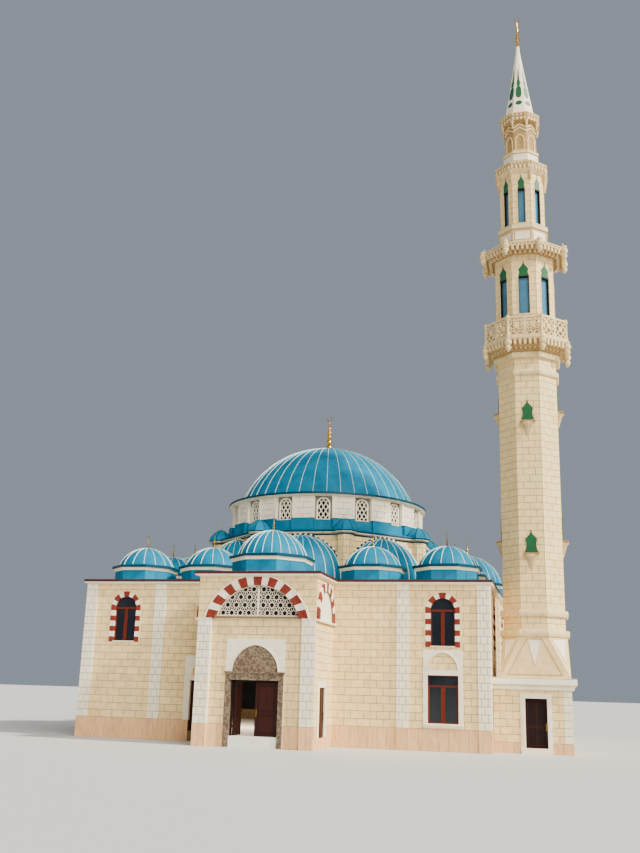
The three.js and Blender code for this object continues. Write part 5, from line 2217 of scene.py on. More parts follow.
@dataclass(frozen=True)
class SemiDome:
    """One of the half domes that lean on the tier.

    Args:
        face: distance of the tier's wall from the axis.
        radius: half its width.
        depth: depth as a share of its radius.
        foot: of its wall.
        spring: of its dome.
        seams: bearings of its seams.
    """

    face: float = 5.714
    radius: float = 2.28
    depth: float = 0.7
    foot: float = 7.5
    spring: float = 7.95
    seams: tuple[float, ...] = (-78, -62, -46, -30, -15, 0, 15, 30, 46, 62, 78)

    def line(self, steps: int = 12) -> list[Flat]:
        """Returns the (radius, height) line of the dome, upwards."""
        return arc((0.0, self.spring), self.radius, 0.0, 90.0, steps)

    def build(self, repeat: Repeater) -> None:
        """Builds all eight.

        Args:
            repeat: the repeater.
        """
        sheet = repeat.ring(self._shell(), 8, ROOF_SHEET)
        piece_of(sheet, "semi_dome_sheets", ROOF_SHEET, replaces=["semi_domes"])
        seams, hood, studs = Draft(), Draft(), Draft()
        for bearing in self.seams:
            seams.rib(self.line()[:-1], 0.034, 0.028, (self.face, 0.0), bearing, self.depth)
        facet = Facet(self.face, 0.0, 0)
        lines = [arc((0.0, self.spring), r, -4, 184, 36) for r in (self.radius - 0.03, self.radius + 0.08)]
        hood.band(facet, *lines, -0.02, 0.14)
        stud_half = 1.3
        for angle in range(6, 180, 7):
            outlines = [arc((0.0, self.spring), r, angle - stud_half, angle + stud_half, 1)
                        for r in (self.radius + 0.03, self.radius + 0.11)]
            studs.band(facet, *outlines, 0.0, 0.17)
        for item, name, finish in ((seams, "semi_dome_seams", SEAM_CAP),
                                   (hood, "semi_dome_hoods", EDGE_TRIM),
                                   (studs, "semi_dome_studs", CAST_STONE)):
            piece_of(repeat.ring(item, 8, finish), name, finish)

    def _shell(self) -> Draft:
        """Returns one closed half dome on its low wall, drawn at +X.

        Returns:
            A draft round the tier's axis.
        """
        draft = Draft()
        profile = [(self.radius, self.foot), (self.radius, self.spring - 0.02)] + self.line()[:-1]
        columns = 28
        points: list[Point] = []
        for radius, height in profile:
            for k in range(columns + 1):
                turn = math.radians(-90 + 180 * k / columns)
                points.append((self.face - 0.01 + self.depth * radius * math.cos(turn),
                               radius * math.sin(turn), height))
        points.append((self.face - 0.01, 0.0, self.spring + self.radius))
        wide, apex = columns + 1, len(points) - 1
        faces: list[Sequence[int]] = []
        for i in range(len(profile) - 1):
            for k in range(columns):
                a = i * wide + k
                faces.append((a, a + 1, a + 1 + wide, a + wide))
            faces.append((i * wide + columns, i * wide, (i + 1) * wide, (i + 1) * wide + columns))
        last = (len(profile) - 1) * wide
        faces += [(last + k, last + k + 1, apex) for k in range(columns)]
        faces += [(last + columns, last, apex), tuple(reversed(range(wide)))]
        draft.add(points, faces)
        return draft


# Drum and main dome


@dataclass
class Drum:
    """The round drum: piers, paired pilasters and pierced windows under the main dome's eave.

    Args:
        radius: of its face.
        foot: where the sheet skirt ends.
        top: underside of the eave.
        count: windows.
        recess: depth of a window bay.
        bay: half width of a window bay.
        pier: half width of the slabs between two bays.
        pilaster: near and far edge of a pilaster, from the pier's middle.
        window: half width, foot and spring of a window.
    """

    radius: float = 5.45
    foot: float = 11.1
    top: float = 12.4
    count: int = 16
    recess: float = 0.13
    bay: float = 0.48
    pier: float = 0.49
    pilaster: Flat = (0.48, 0.605)
    window: tuple[float, float, float] = (0.33, 11.14, 11.98)

    def build(self) -> None:
        """Builds the drum's pieces."""
        dress("drum", MORTAR)
        dress("drum_glass", DARK_GLASS)
        repeat = Repeater.shared()
        step = 360 / self.count
        for item, name, finish, phase in (
            (self._pier(), "drum_slabs", CAST_STONE, 0.0),
            (self._pilasters(), "drum_pilasters", CAST_STONE, 0.0),
            (self._bay(), "drum_bay_backs", BAY_SHADE_GREY, step / 2),
            (self._screen(), "drum_window_screens", CAST_STONE, step / 2),
            (self._pane(), "drum_window_panes", DARK_GLASS, step / 2),
        ):
            piece_of(repeat.ring(item, self.count, finish, phase), name, finish)

    def _pier(self) -> Draft:
        """Returns the slabs between two window bays, drawn at +X.

        Returns:
            A draft round the drum's axis.
        """
        draft = Draft(61)
        Coursing(0.3, 0.42).lay(draft, Facet(self.radius, 0.0, 0), (-self.pier, self.pier),
                                (self.foot, self.top), depth=0.06)
        return draft

    def _pilasters(self) -> Draft:
        """Returns the two pilasters of one pier, drawn at +X.

        Returns:
            A draft round the drum's axis.
        """
        draft = Draft()
        facet = Facet(self.radius, 0.0, 0)
        draft.pair(facet, *self.pilaster, self.foot, self.top, -0.15, 0.035)
        draft.pair(facet, 0.47, 0.61, self.top - 0.09, self.top, -0.15, 0.055)
        return draft

    def _bay(self) -> Draft:
        """Returns the grey back of one window bay, painted shade of the recess, drawn at +X.

        Returns:
            A draft round the drum's axis.
        """
        draft = Draft()
        half, foot, spring = self.window
        facet = Facet(self.radius - self.recess, 0.0, 0)
        wide = self.bay
        draft.pair(facet, half, wide, foot - 0.1, spring, -0.1, 0.004)
        head = arc((0.0, spring), half, 0, 180, 12)
        for part in cut_out(rectangle(-wide, wide, spring, self.top), head):
            draft.prism(facet, part, -0.1, 0.004)
        return draft

    def _screen(self) -> Draft:
        """Returns the pierced screen of one window, drawn at +X.

        Returns:
            A draft round the drum's axis.
        """
        draft = Draft()
        half, foot, spring = self.window
        facet = Facet(self.radius - self.recess, 0.0, 0)
        outline = [(-half, foot), (half, foot)] + arc((0.0, spring), half, 0, 180, 12)
        pitch, lean, web = 0.245, 59.0, 0.024
        for turn in (lean, 180 - lean):
            run = (math.cos(math.radians(turn)), math.sin(math.radians(turn)))
            across = (-run[1], run[0])
            for k in range(-6, 7):
                middle = ((k + 0.5) * pitch, foot + 0.08)
                bar = [(middle[0] + run[0] * r + across[0] * e, middle[1] + run[1] * r + across[1] * e)
                       for r, e in ((-2, -web), (2, -web), (2, web), (-2, web))]
                shown = clip_to(bar, outline)
                if shown:
                    draft.prism(facet, shown, -0.05, 0.01)
        inner, outer = half - 0.04, half + 0.03
        draft.band(facet, *(arc((0.0, spring), r, 0, 180, 16) for r in (inner, outer)), -0.05, 0.035)
        draft.pair(facet, inner, outer, foot, spring, -0.05, 0.035)
        draft.slab(facet, -outer, outer, foot - 0.06, foot + 0.05, -0.05, 0.04)
        return draft

    def _pane(self) -> Draft:
        """Returns the pane of one window, drawn at +X.

        Returns:
            A draft round the drum's axis.
        """
        draft = Draft()
        half, foot, spring = self.window
        outline = [(-half, foot), (half, foot)] + arc((0.0, spring), half, 0, 180, 10)
        draft.prism(Facet(self.radius - self.recess - 0.2, 0.0, 0), outline, -0.02, 0.0)
        return draft


@dataclass
class MainDome:
    """The main dome's sheet, seams, eave and finial.

    Args:
        centre: height of the sphere's centre.
        radius: of the sphere.
        foot: height of the dome's foot.
        seams: how many seams climb it.
        eave: radius and height of the eave's edge.
        drum: radius and top of the drum.
        finial: height of the finial.
        inner: inner radius of the eave.
        upper: radius of the flashing where it meets the dome.
        segments: sides of the round parts.
    """

    centre: float = 10.78
    radius: float = 5.365
    foot: float = 12.68
    seams: int = 42
    eave: Flat = (5.73, 12.53)
    drum: Flat = (5.45, 12.4)
    finial: float = 2.15
    inner: float = 4.76
    upper: float = 5.04
    segments: int = 144

    def line(self, radius: float, steps: int) -> list[Flat]:
        """Returns the (radius, height) line of the dome, upwards to the apex.

        Args:
            radius: of the sphere.
            steps: straight pieces of the line.

        Returns:
            The points.
        """
        start = math.degrees(math.asin((self.foot - 0.03 - self.centre) / radius))
        points = arc((0.0, self.centre), radius, start, 90.0, steps)
        return points[:-1] + [(0.0, points[-1][1])]

    def build(self) -> None:
        """Builds the dome's pieces."""
        dress("main_dome", PLASTER)
        shell = Draft()
        outer = self.line(self.radius + 0.012, 24)
        inner = list(reversed(self.line(self.radius - 0.12, 24)))
        shell.lathe(inner + outer, self.segments)
        shell.piece("main_dome_sheet", ROOF_SHEET)
        seam = Draft()
        seam.rib(self.line(self.radius + 0.012, 20)[:-1], 0.03, 0.032)
        made = Draft()
        made.absorb(Repeater.shared().ring(seam, self.seams, SEAM_CAP))
        crown = self.centre + self.radius
        made.lathe([(0.0, crown - 0.05), (0.3, crown - 0.05), (0.3, crown + 0.02), (0.0, crown + 0.05)], 36)
        made.piece("main_dome_seams", SEAM_CAP)
        self._eave()
        gilt = Draft()
        Finial(self.finial).add(gilt, 0.0, 0.0, crown, 28)
        gilt.piece("main_finial_gilt", GILT, replaces=["main_finial"])

    def _eave(self) -> None:
        """Builds the pale cove, the folded edge and the flashing up to the dome."""
        radius, height = self.eave
        drum, top = self.drum
        cove, edge, sheet = Draft(), Draft(), Draft()
        inner, sides = self.inner, self.segments
        cove.lathe([(inner, top), (drum + 0.05, top), (radius - 0.04, height - 0.075),
                    (radius - 0.03, height - 0.06), (inner, height - 0.06)], sides, closed=True)
        edge.lathe([(radius - 0.13, height - 0.065), (radius - 0.01, height - 0.065), (radius, height),
                    (radius - 0.015, height + 0.05), (radius - 0.13, height + 0.065)], sides, closed=True)
        sheet.lathe([(inner, height - 0.03), (radius - 0.02, height - 0.03),
                     (radius - 0.02, height + 0.045), (self.upper, self.foot + 0.02),
                     (inner, self.foot + 0.02)], sides, closed=True)
        cove.piece("dome_eave_cove", CAST_STONE, replaces=["dome_eave"])
        edge.piece("dome_eave_edge", EDGE_TRIM)
        sheet.piece("dome_eave_flashing", ROOF_SHEET)


# Minaret


class Ornament:
    """Outlines of the minaret's carved and enamelled ornaments, as (along, height) lines."""

    @staticmethod
    def mirrored(right: Sequence[Flat]) -> list[Flat]:
        """Returns a closed counter-clockwise outline from its right half, listed upwards."""
        left = [(-x, z) for x, z in reversed(right) if x > ON_AXIS]
        return list(right) + left

    @staticmethod
    def bell(half: float, foot: float, head: float, tip: float) -> list[Flat]:
        """Returns a bell with an ogee head and a slim tip.

        Args:
            half: half its width at the foot.
            foot: its foot.
            head: where the ogee begins.
            tip: its tip.

        Returns:
            The outline.
        """
        rise = tip - head
        waist = ((1.0, 0.0), (0.92, 0.25), (0.8, 0.55))
        ogee = ((0.78, 0.0), (0.9, 0.1), (0.86, 0.22), (0.6, 0.38), (0.32, 0.52), (0.12, 0.7))
        right = [(half * r, foot + (head - foot) * h) for r, h in waist]
        right += [(half * r, head + rise * h) for r, h in ogee]
        return Ornament.mirrored(right + [(0.0, tip)])

    @staticmethod
    def spire(half: float, foot: float, tip: float) -> list[Flat]:
        """Returns a tall bulb that draws out into a slender spire.

        Args:
            half: half its greatest width.
            foot: its foot.
            tip: its tip.

        Returns:
            The outline.
        """
        rise = tip - foot
        shares = ((0.5, 0.0), (0.95, 0.06), (1.0, 0.16), (0.92, 0.28), (0.6, 0.35), (0.36, 0.39),
                  (0.6, 0.44), (0.6, 0.52), (0.36, 0.6), (0.24, 0.72), (0.16, 0.86))
        return Ornament.mirrored([(half * r, foot + rise * h) for r, h in shares] + [(0.0, tip)])


def fan(draft: Draft, facet: Facet, outline: Sequence[Flat], back: float, front: float,
        levels: Flat = (-math.inf, math.inf)) -> None:
    """Adds a slab from a mirrored outline as one strip of quads, so that hollows stay open.

    Args:
        draft: takes the slab.
        facet: the face that it lies on.
        outline: the ornament's outline, with its tip on the middle line.
        back: depth of its back.
        front: how far it stands out.
        levels: quads that start below the first or at the second height are left out.
    """
    right = outline[:len(outline) // 2 + 1]
    for low, high in zip(right, right[1:]):
        if not levels[0] - ON_AXIS <= low[1] < levels[1]:
            continue
        quad = [(-low[0], low[1]), low, high]
        if high[0] > ON_AXIS:
            quad.append((-high[0], high[1]))
        draft.prism(facet, quad, back, front)


@dataclass
class Shaft:
    """The minaret from its square base to the balcony.

    Args:
        x: of the minaret's axis.
        y: of the minaret's axis.
        base_half: half the base's width.
        base_left: where the base meets the hall, from the axis.
        base_top: underside of the base's cornice.
        step: between its two steps.
        cornice_top: its upper side.
        strip: width of the base's corner strips.
        foot_top: top of the travertine foot.
        apothem: of the shaft.
        rings: foot and top of each ring, and how far it stands out; courses lie between them.
        stones: how many stones lie side by side on a face.
        door: half width, foot and top of the doorway.
        niches: sill and tip of the blind niches in each row.
    """

    x: float = 11.83
    y: float = -6.857
    base_half: float = 1.55
    base_left: float = -1.89
    base_top: float = 2.782
    step: float = 2.98
    cornice_top: float = 3.236
    strip: float = 0.35
    foot_top: float = 0.47
    apothem: float = 1.4
    rings: tuple[tuple[float, float, float], ...] = (
        (5.109, 5.376, 0.145), (6.007, 6.277, 0.115), (17.639, 17.896, 0.085), (18.52, 18.76, 0.165))
    stones: float = 2.5
    door: tuple[float, float, float] = (0.49, 0.25, 2.38)
    niches: tuple[Flat, ...] = ((8.04, 9.98), (14.44, 16.34))

    def place(self, item: Draft, finish: Finish, count: int = 8, phase: float = 0.0) -> Draft:
        """Repeats an item round the minaret's own axis.

        Args:
            item: the item, drawn at +X.
            finish: its material.
            count: how many copies share the circle.
            phase: degrees of the first copy.

        Returns:
            The copies, in place.
        """
        made = Draft()
        made.absorb(Repeater.shared().ring(item, count, finish, phase), (self.x, self.y, 0.0))
        return made

    def around(self, item: Draft, name: str, finish: Finish, phase: float = 0.0) -> None:
        """Makes eight copies of an item round the minaret one piece."""
        self.place(item, finish, 8, phase).piece(name, finish)

    @property
    def axis(self) -> Flat:
        """Returns where the minaret's axis stands."""
        return (self.x, self.y)

    def build(self) -> None:
        """Builds the base, the transition and the shaft."""
        for node in ("minaret_base", "minaret_front_left", "minaret_front_right", "minaret_front_head",
                     "minaret_transition", "minaret_shaft"):
            dress(node, MORTAR)
        self._base()
        self._cornice()
        self._transition()
        self._courses()
        self._niches()

    def _base(self) -> None:
        """Lays the slabs, the corner strips and the door's surround."""
        slabs, pale, foot = Draft(71), Draft(72), Draft(73)
        half, foot_top = self.base_half, self.foot_top
        door_half, sill, head = self.door
        front = Facet(self.x, self.y - half, -90)
        gap = rectangle(-door_half - 0.19, door_half + 0.19, 0.0, head + 0.19)
        right, rear = Facet(self.x + half, self.y, 0), Facet(self.x, self.y + half, 90)
        for facet, ends, holes in ((front, (self.base_left, half), [gap]), (right, (-half, half), []),
                                   (rear, (-half, -self.base_left), [])):
            Coursing().lay(slabs, facet, ends, (foot_top, self.base_top), holes=holes)
            foot_panels(foot_top).lay(foot, facet, ends, (0.0, foot_top), holes=holes)
        for facet, side in ((front, 1), (right, -1), (right, 1), (rear, -1)):
            ends = ends_on(side, half - self.strip, half + 0.02)
            Coursing(length=self.strip).lay(pale, facet, ends, (foot_top, self.base_top), 0.008, depth=0.02)
        for wide, proud in ((0.2, 0.03), (0.11, 0.06)):
            pale.pair(front, door_half - 0.01, door_half + wide, 0.0, head - 0.01, -0.12, proud)
            pale.slab(front, -door_half - wide, door_half + wide, head - 0.01, head + wide, -0.12, proud)
        pale.slab(front, -door_half - 0.2, door_half + 0.2, sill - 0.25, sill - 0.005, -0.02, 0.1)
        slabs.piece("minaret_base_slabs", LIMESTONE)
        pale.piece("minaret_base_trim", CAST_STONE)
        foot.piece("minaret_base_foot", TRAVERTINE)

    def _cornice(self) -> None:
        """Builds the stepped cornice over the base, with a row of small blocks under its lip."""
        draft = Draft()
        x, y, half = self.x, self.y, self.base_half
        left = x + self.base_left
        path = [(left, y - half), (x + half, y - half), (x + half, y + half), (left, y + half)]
        low, step, high = self.base_top, self.step, self.cornice_top
        draft.ring(path, [(-0.05, low - 0.05), (0.09, low - 0.05), (0.11, low - 0.012), (0.145, low - 0.012),
                          (0.145, step - 0.012), (0.272, step - 0.012), (0.272, high - 0.06),
                          (0.25, high + 0.012), (-0.1, high + 0.03)])
        for facet in (Facet(x, y - half, -90), Facet(x + half, y, 0), Facet(x, y + half, 90)):
            for k in range(14):
                along = -half + (k + 0.5) * 2 * half / 14
                draft.slab(facet, along - 0.05, along + 0.05, step - 0.08, step - 0.012, 0.1, 0.21)
        draft.piece("minaret_base_cornice", CAST_STONE)

    def _transition(self) -> None:
        """Builds the sloping panels that turn the square into the octagon."""
        smooth, lines, pale = Draft(), Draft(), Draft()
        half, top = self.base_half, self.apothem + 0.06
        rise = self.rings[0][0] - self.cornice_top
        side = top * HALF_SIDE
        low = self.cornice_top
        for bearing in range(-180, 180, 45):
            wide = half if bearing % 90 == 0 else 0.0
            reach = wide or math.hypot(half, half)
            lean = math.degrees(math.atan2(reach - top, rise))
            high = low + math.hypot(reach - top, rise)
            turn = math.radians(bearing)
            spot = (self.x + reach * math.cos(turn), self.y + reach * math.sin(turn))
            facet = Facet(*spot, bearing, lean, low)
            if wide:
                smooth.prism(facet, [(-wide, low), (wide, low), (side, high), (-side, high)], -0.02, 0.012)
                frame = [(-1.22, low + 0.14), (1.22, low + 0.14), (0.35, high - 0.12), (-0.35, high - 0.12)]
                point = [(0.0, low + 0.5), (0.31, high - 0.13), (-0.31, high - 0.13)]
                self._groove(lines, facet, frame)
            else:
                smooth.prism(facet, [(0.0, low), (side, high), (-side, high)], -0.02, 0.012)
                point = [(0.0, low + 0.75), (side - 0.2, high - 0.13), (0.2 - side, high - 0.13)]
            pale.prism(facet, point, 0.0, 0.02)
            self._groove(lines, facet, point)
        smooth.piece("minaret_transition_panels", SUNNY_STONE)
        # Painted shade: the grooves are thin ochre lines that paint their shadow.
        lines.piece("minaret_transition_grooves", OCHRE_AND_PAINTED_SHADE)
        pale.piece("minaret_transition_points", CAST_STONE)

    def _groove(self, draft: Draft, facet: Facet, outline: Sequence[Flat]) -> None:
        """Draws a thin ochre line round an outline, standing for a groove: its darker colour paints the
        groove's shade.

        Args:
            draft: takes the line.
            facet: the face that it lies on.
            outline: the outline.
        """
        loop = [*outline, outline[0]]
        middle = [sum(values) / len(outline) for values in zip(*outline)]
        inner = [(u + (middle[0] - u) * 0.04, v + (middle[1] - v) * 0.04) for u, v in loop]
        draft.band(facet, inner, loop, 0.0, 0.024)

    def _rounded(self, low: float, high: float, out: float) -> list[Flat]:
        """Returns the closed profile of a rounded ring round the shaft.

        Args:
            low: underside of the ring.
            high: its upper side.
            out: how far it stands out.

        Returns:
            The profile as (apothem, height).
        """
        inner, face = self.apothem - 0.05, self.apothem + out
        return [(inner, low - 0.012), (face, low - 0.012), (face + 0.03, low + 0.04),
                (face + 0.045, (low + high) / 2), (face + 0.03, high - 0.04), (face, high + 0.012),
                (inner, high + 0.012)]

    def _courses(self) -> None:
        """Lays the shaft's facets and sets its rings."""
        item = Draft(74)
        half = self.apothem * HALF_SIDE
        facet = Facet(self.apothem, 0.0, 0)
        for (_, low, _), (high, _, _) in zip(self.rings, self.rings[1:]):
            Coursing(length=2 * half / self.stones).lay(item, facet, (-half, half), (low, high))
        self.around(item, "minaret_shaft_slabs", LIMESTONE)
        rings = Draft()
        for low, high, out in self.rings:
            rings.octagon(self._rounded(low, high, out), self.axis, True)
        rings.piece("minaret_rings", CARVED_STONE)

    def _niches(self) -> None:
        """Builds the enamelled bells and their fluted corbels."""
        for name, bearings, lift in (("front", (0, 2), 0.0), ("side", (1, 3), 0.75)):
            for label, draft, finish in self._niche(lift):
                made = Draft()
                for quarter in bearings:
                    turned = self.place(draft, finish, 1, 90.0 * quarter + 90.0)
                    made.absorb(turned.mesh(f"{name}_{label}_{quarter}"))
                made.piece(f"minaret_{name}_niche_{label}", finish)

    def _niche(self, lift: float) -> tuple[tuple[str, Draft, Finish], ...]:
        """Returns the bells, corbels and gilded lines of the niches above one another, drawn at +X.

        Args:
            lift: how much higher than the lowest niches.

        Returns:
            The label, the draft and the finish of each part.
        """
        facet = Facet(self.apothem, 0.0, 0)
        green, pale, gold = Draft(), Draft(), Draft()
        for low, high in self.niches:
            low, high = low + lift, high + lift
            foot = low + (high - low) * 0.42
            right = ((0.31, 0.0), (0.3, 0.08), (0.25, 0.2), (0.225, 0.32), (0.235, 0.46), (0.26, 0.54),
                     (0.25, 0.62), (0.17, 0.7), (0.09, 0.77), (0.04, 0.84), (0.0, 1.0))
            outline = Ornament.mirrored([(r, foot + 0.03 + (high - foot) * h) for r, h in right])
            fan(green, facet, outline, 0.0, 0.06)
            gold.slab(facet, -0.36, 0.36, foot - 0.01, foot + 0.03, 0.0, 0.3)
            profile = [(0.0, low), (0.03, low + 0.02), (0.08, low + 0.2), (0.2, foot - 0.2),
                       (0.31, foot - 0.08), (0.33, foot - 0.02), (0.0, foot - 0.02)]
            pale.lathe(profile, 16, (self.apothem - 0.03, 0.0))
            for k in range(7):
                flute = [(0.02, low + 0.03), (0.1, low + 0.2), (0.225, foot - 0.18), (0.345, foot - 0.06)]
                pale.rib(flute, 0.05, 0.02, (self.apothem - 0.03, 0.0), -78 + 26 * k)
        return (("panels", green, GREEN_PANEL), ("corbels", pale, CARVED_STONE),
                ("lines", gold, OCHRE_AND_PAINTED_SHADE))


@dataclass
class Balcony:
    """The carved balcony and its pierced parapet.

    Args:
        shaft: the minaret's shaft.
        apothem: of the balcony's rim.
        floor: its height.
        rail: top of the parapet.
        post: top of the corner posts.
        inset: from the rim to the parapet.
        panel: thickness of the parapet.
        arcades: apothem, foot, top, count and depth of each row of small arches.
        dentils: foot and top of the dentils.
        pendant_top: where the drops hang from.
    """

    shaft: Shaft
    apothem: float = 2.03
    floor: float = 19.465
    rail: float = 20.507
    post: float = 20.62
    inset: float = 0.03
    panel: float = 0.09
    arcades: tuple[tuple[float, float, float, int, float], ...] = (
        (1.64, 18.9, 19.05, 6, 0.07), (1.85, 19.07, 19.2, 6, 0.06))
    dentils: Flat = (19.04, 19.3)
    pendant_top: float = 19.4

    def build(self) -> None:
        """Builds the stepped corbels, pendants and parapet."""
        # Painted shade: the balcony's core in the darker ochre, so that the hollows of the carving look
        # shaded.
        dress("balcony", OCHRE_AND_PAINTED_SHADE)
        self.shaft.around(self._corbels(), "balcony_carving", CARVED_STONE)
        drop = pendant(self.apothem - 0.04, self.pendant_top)
        self.shaft.around(drop, "balcony_pendants", CARVED_STONE, HALF_EIGHTH)
        self._parapet()

    def _corbels(self) -> Draft:
        """Returns the small arches, dentils and mouldings under one side of the balcony.

        Returns:
            A draft round the minaret's axis.
        """
        item = Draft()
        for apothem, low, high, count, proud in self.arcades:
            half = apothem * HALF_SIDE
            facet = Facet(apothem, 0.0, 0)
            pitch = 2 * half / count
            for k in range(count):
                middle = -half + (k + 0.5) * pitch
                arch = [(middle + x, z) for x, z in pointed_arch(pitch * 0.36, low, high, 3)]
                block = rectangle(middle - pitch / 2, middle + pitch / 2, low, high + 0.04)
                for part in cut_out(block, arch):
                    item.prism(facet, part, -0.03, proud)
        facet = Facet(self.apothem, 0.0, 0)
        half = self.apothem * HALF_SIDE
        for k in range(7):
            middle = -half + (k + 0.5) * 2 * half / 7
            item.slab(facet, middle - 0.06, middle + 0.06, *self.dentils, -0.14, 0.025)
        item.strip(self.apothem, self.dentils[1], self.floor, -0.1, 0.03)
        item.strip(self.apothem, self.dentils[1] + 0.05, self.pendant_top, -0.1, 0.045)
        return item

    def _parapet(self) -> None:
        """Builds the rails, lattice panels and corner posts of the parapet."""
        face = self.apothem - self.inset
        half = face * HALF_SIDE
        facet = Facet(face, 0.0, 0)
        item = Draft()
        low, high = self.floor + 0.1, self.rail - 0.1
        item.strip(face, self.floor, low, -self.panel, 0.0)
        item.strip(face, high, self.rail, -self.panel - 0.015, 0.02)
        item.slab(facet, -0.05, 0.05, low, high, -self.panel, 0.01)
        for side in (-1, 1):
            left, right = ends_on(side, 0.05, half - 0.08)
            field_outline = rectangle(left, right, low, high)
            middle, centre = (left + right) / 2, (low + high) / 2
            for dx, dz in ((-1, -1), (-1, 1), (1, 1), (1, -1)):
                corner = (middle + dx * (right - left) / 2, centre + dz * (high - low) / 2)
                self._bar(item, facet, corner, (middle, centre), field_outline)
                self._bar(item, facet, (corner[0], centre), (middle, corner[1]), field_outline)
            diamond = [(middle, centre - 0.15), (middle + 0.13, centre), (middle, centre + 0.15),
                       (middle - 0.13, centre)]
            item.prism(facet, diamond, -self.panel, 0.015)
        draft = self.shaft.place(item, CARVED_STONE)
        post = Draft()
        spot = (face - self.panel / 2) * TO_CORNER
        post.lathe([(0.0, self.floor), (0.1, self.floor), (0.1, self.floor + 0.12),
                    (0.075, self.floor + 0.16), (0.075, self.rail - 0.14), (0.1, self.rail - 0.1),
                    (0.1, self.rail + 0.02), (0.05, self.rail + 0.03), (0.065, self.rail + 0.07),
                    (0.0, self.post)], 8, (spot, 0.0))
        draft.absorb(self.shaft.place(post, CARVED_STONE, 8, HALF_EIGHTH).mesh("posts"))
        draft.piece("balcony_lattice", CARVED_STONE, replaces=["balcony_parapet"])

    def _bar(self, draft: Draft, facet: Facet, start: Flat, end: Flat, outline: Sequence[Flat]) -> None:
        """Adds one straight lattice bar, cut to its panel.

        Args:
            draft: takes the bar.
            facet: the parapet's face.
            start: one end.
            end: the other end.
            outline: the panel's outline.
        """
        run = Vector((end[0] - start[0], end[1] - start[1])).normalized()
        across = (-run[1] * 0.032, run[0] * 0.032)
        bar = [(start[0] - across[0], start[1] - across[1]), (start[0] + across[0], start[1] + across[1]),
               (end[0] + across[0], end[1] + across[1]), (end[0] - across[0], end[1] - across[1])]
        if area(bar) < 0:
            bar.reverse()
        draft.prism(facet, clip_to(bar, outline), -self.panel, 0.0)


def pendant(apothem: float, top: float) -> Draft:
    """Returns the turned drop under one corner of a rim, drawn at +X.

    Args:
        apothem: of the rim.
        top: where the drop hangs from.

    Returns:
        A draft with the drop.
    """
    item = Draft()
    shares = ((0.0, 0.78), (0.04, 0.74), (0.09, 0.66), (0.15, 0.56), (0.155, 0.5), (0.13, 0.46),
              (0.09, 0.43), (0.13, 0.39), (0.175, 0.33), (0.19, 0.26), (0.18, 0.18), (0.11, 0.12),
              (0.14, 0.09), (0.14, 0.0), (0.0, 0.0))
    item.lathe([(r, top - drop) for r, drop in shares], 14, (apothem * TO_CORNER, 0.0))
    return item


@dataclass(frozen=True)
class Lantern:
    """One storey of windows on the minaret.

    Args:
        name: of its CAD nodes.
        apothem: of its walls.
        levels: foot and top of its walls.
        window: half width, sill, foot of the head and tip of a window.
        reveal: from the wall's face to the glass.
    """

    name: str
    apothem: float
    levels: Flat
    window: tuple[float, float, float, float]
    reveal: float = 0.13

    def build(self, shaft: Shaft) -> None:
        """Builds the storey's slabs, frames, green heads and panes.

        Args:
            shaft: the minaret's shaft.
        """
        dress(f"{self.name}_lantern", MORTAR)
        dress(f"{self.name}_lantern_glass", BLUE_GLASS)
        half, sill, head, tip = self.window
        facet = Facet(self.apothem, 0.0, 0)
        side = self.apothem * HALF_SIDE
        slabs = Draft(81)
        wide = half + 0.045
        hole = [(-wide, sill - 0.04), (wide, sill - 0.04), (wide, tip - 0.28), (0.0, tip + 0.05),
                (-wide, tip - 0.28)]
        Coursing(length=side * 0.9).lay(slabs, facet, (-side, side), self.levels, holes=[hole])
        shaft.around(slabs, f"{self.name}_lantern_slabs", LIMESTONE)
        pale, green, wood, glass, infill = Draft(), Draft(), Draft(), Draft(), Draft()
        pale.pair(facet, half - 0.004, wide, sill - 0.04, head, -0.05, 0.03)
        # The near-black stain on the jambs paints the shade of the deep reveals.
        wood.pair(facet, half - 0.035, half, sill, head, -self.reveal, -0.02)
        pale.slab(facet, -wide - 0.03, wide + 0.03, sill - 0.1, sill - 0.02, -0.05, 0.06)
        # The near-black bar under the green head paints the head's shadow.
        wood.slab(facet, -half, half, head - 0.05, head, -self.reveal, 0.012)
        outline = Ornament.bell(half, head, head + (tip - head) * 0.3, tip)
        fan(green, facet, outline, -0.12, 0.03)
        crown = [(-wide - 0.012, head), (wide + 0.012, head), (wide + 0.012, tip - 0.275),
                 (0.0, tip + 0.062), (-wide - 0.012, tip - 0.275)]
        infill.prism(facet, crown, -0.06, 0.01)
        glass.slab(facet, -half - 0.01, half + 0.01, sill - 0.01, head, -self.reveal - 0.02, -self.reveal)
        for draft, label, finish in ((pale, "trim", CARVED_STONE), (green, "heads", GREEN_PANEL),
                                     (wood, "reveals", DARK_LEAF), (glass, "panes", BLUE_GLASS),
                                     (infill, "infill", LIMESTONE)):
            shaft.around(draft, f"{self.name}_lantern_{label}", finish)


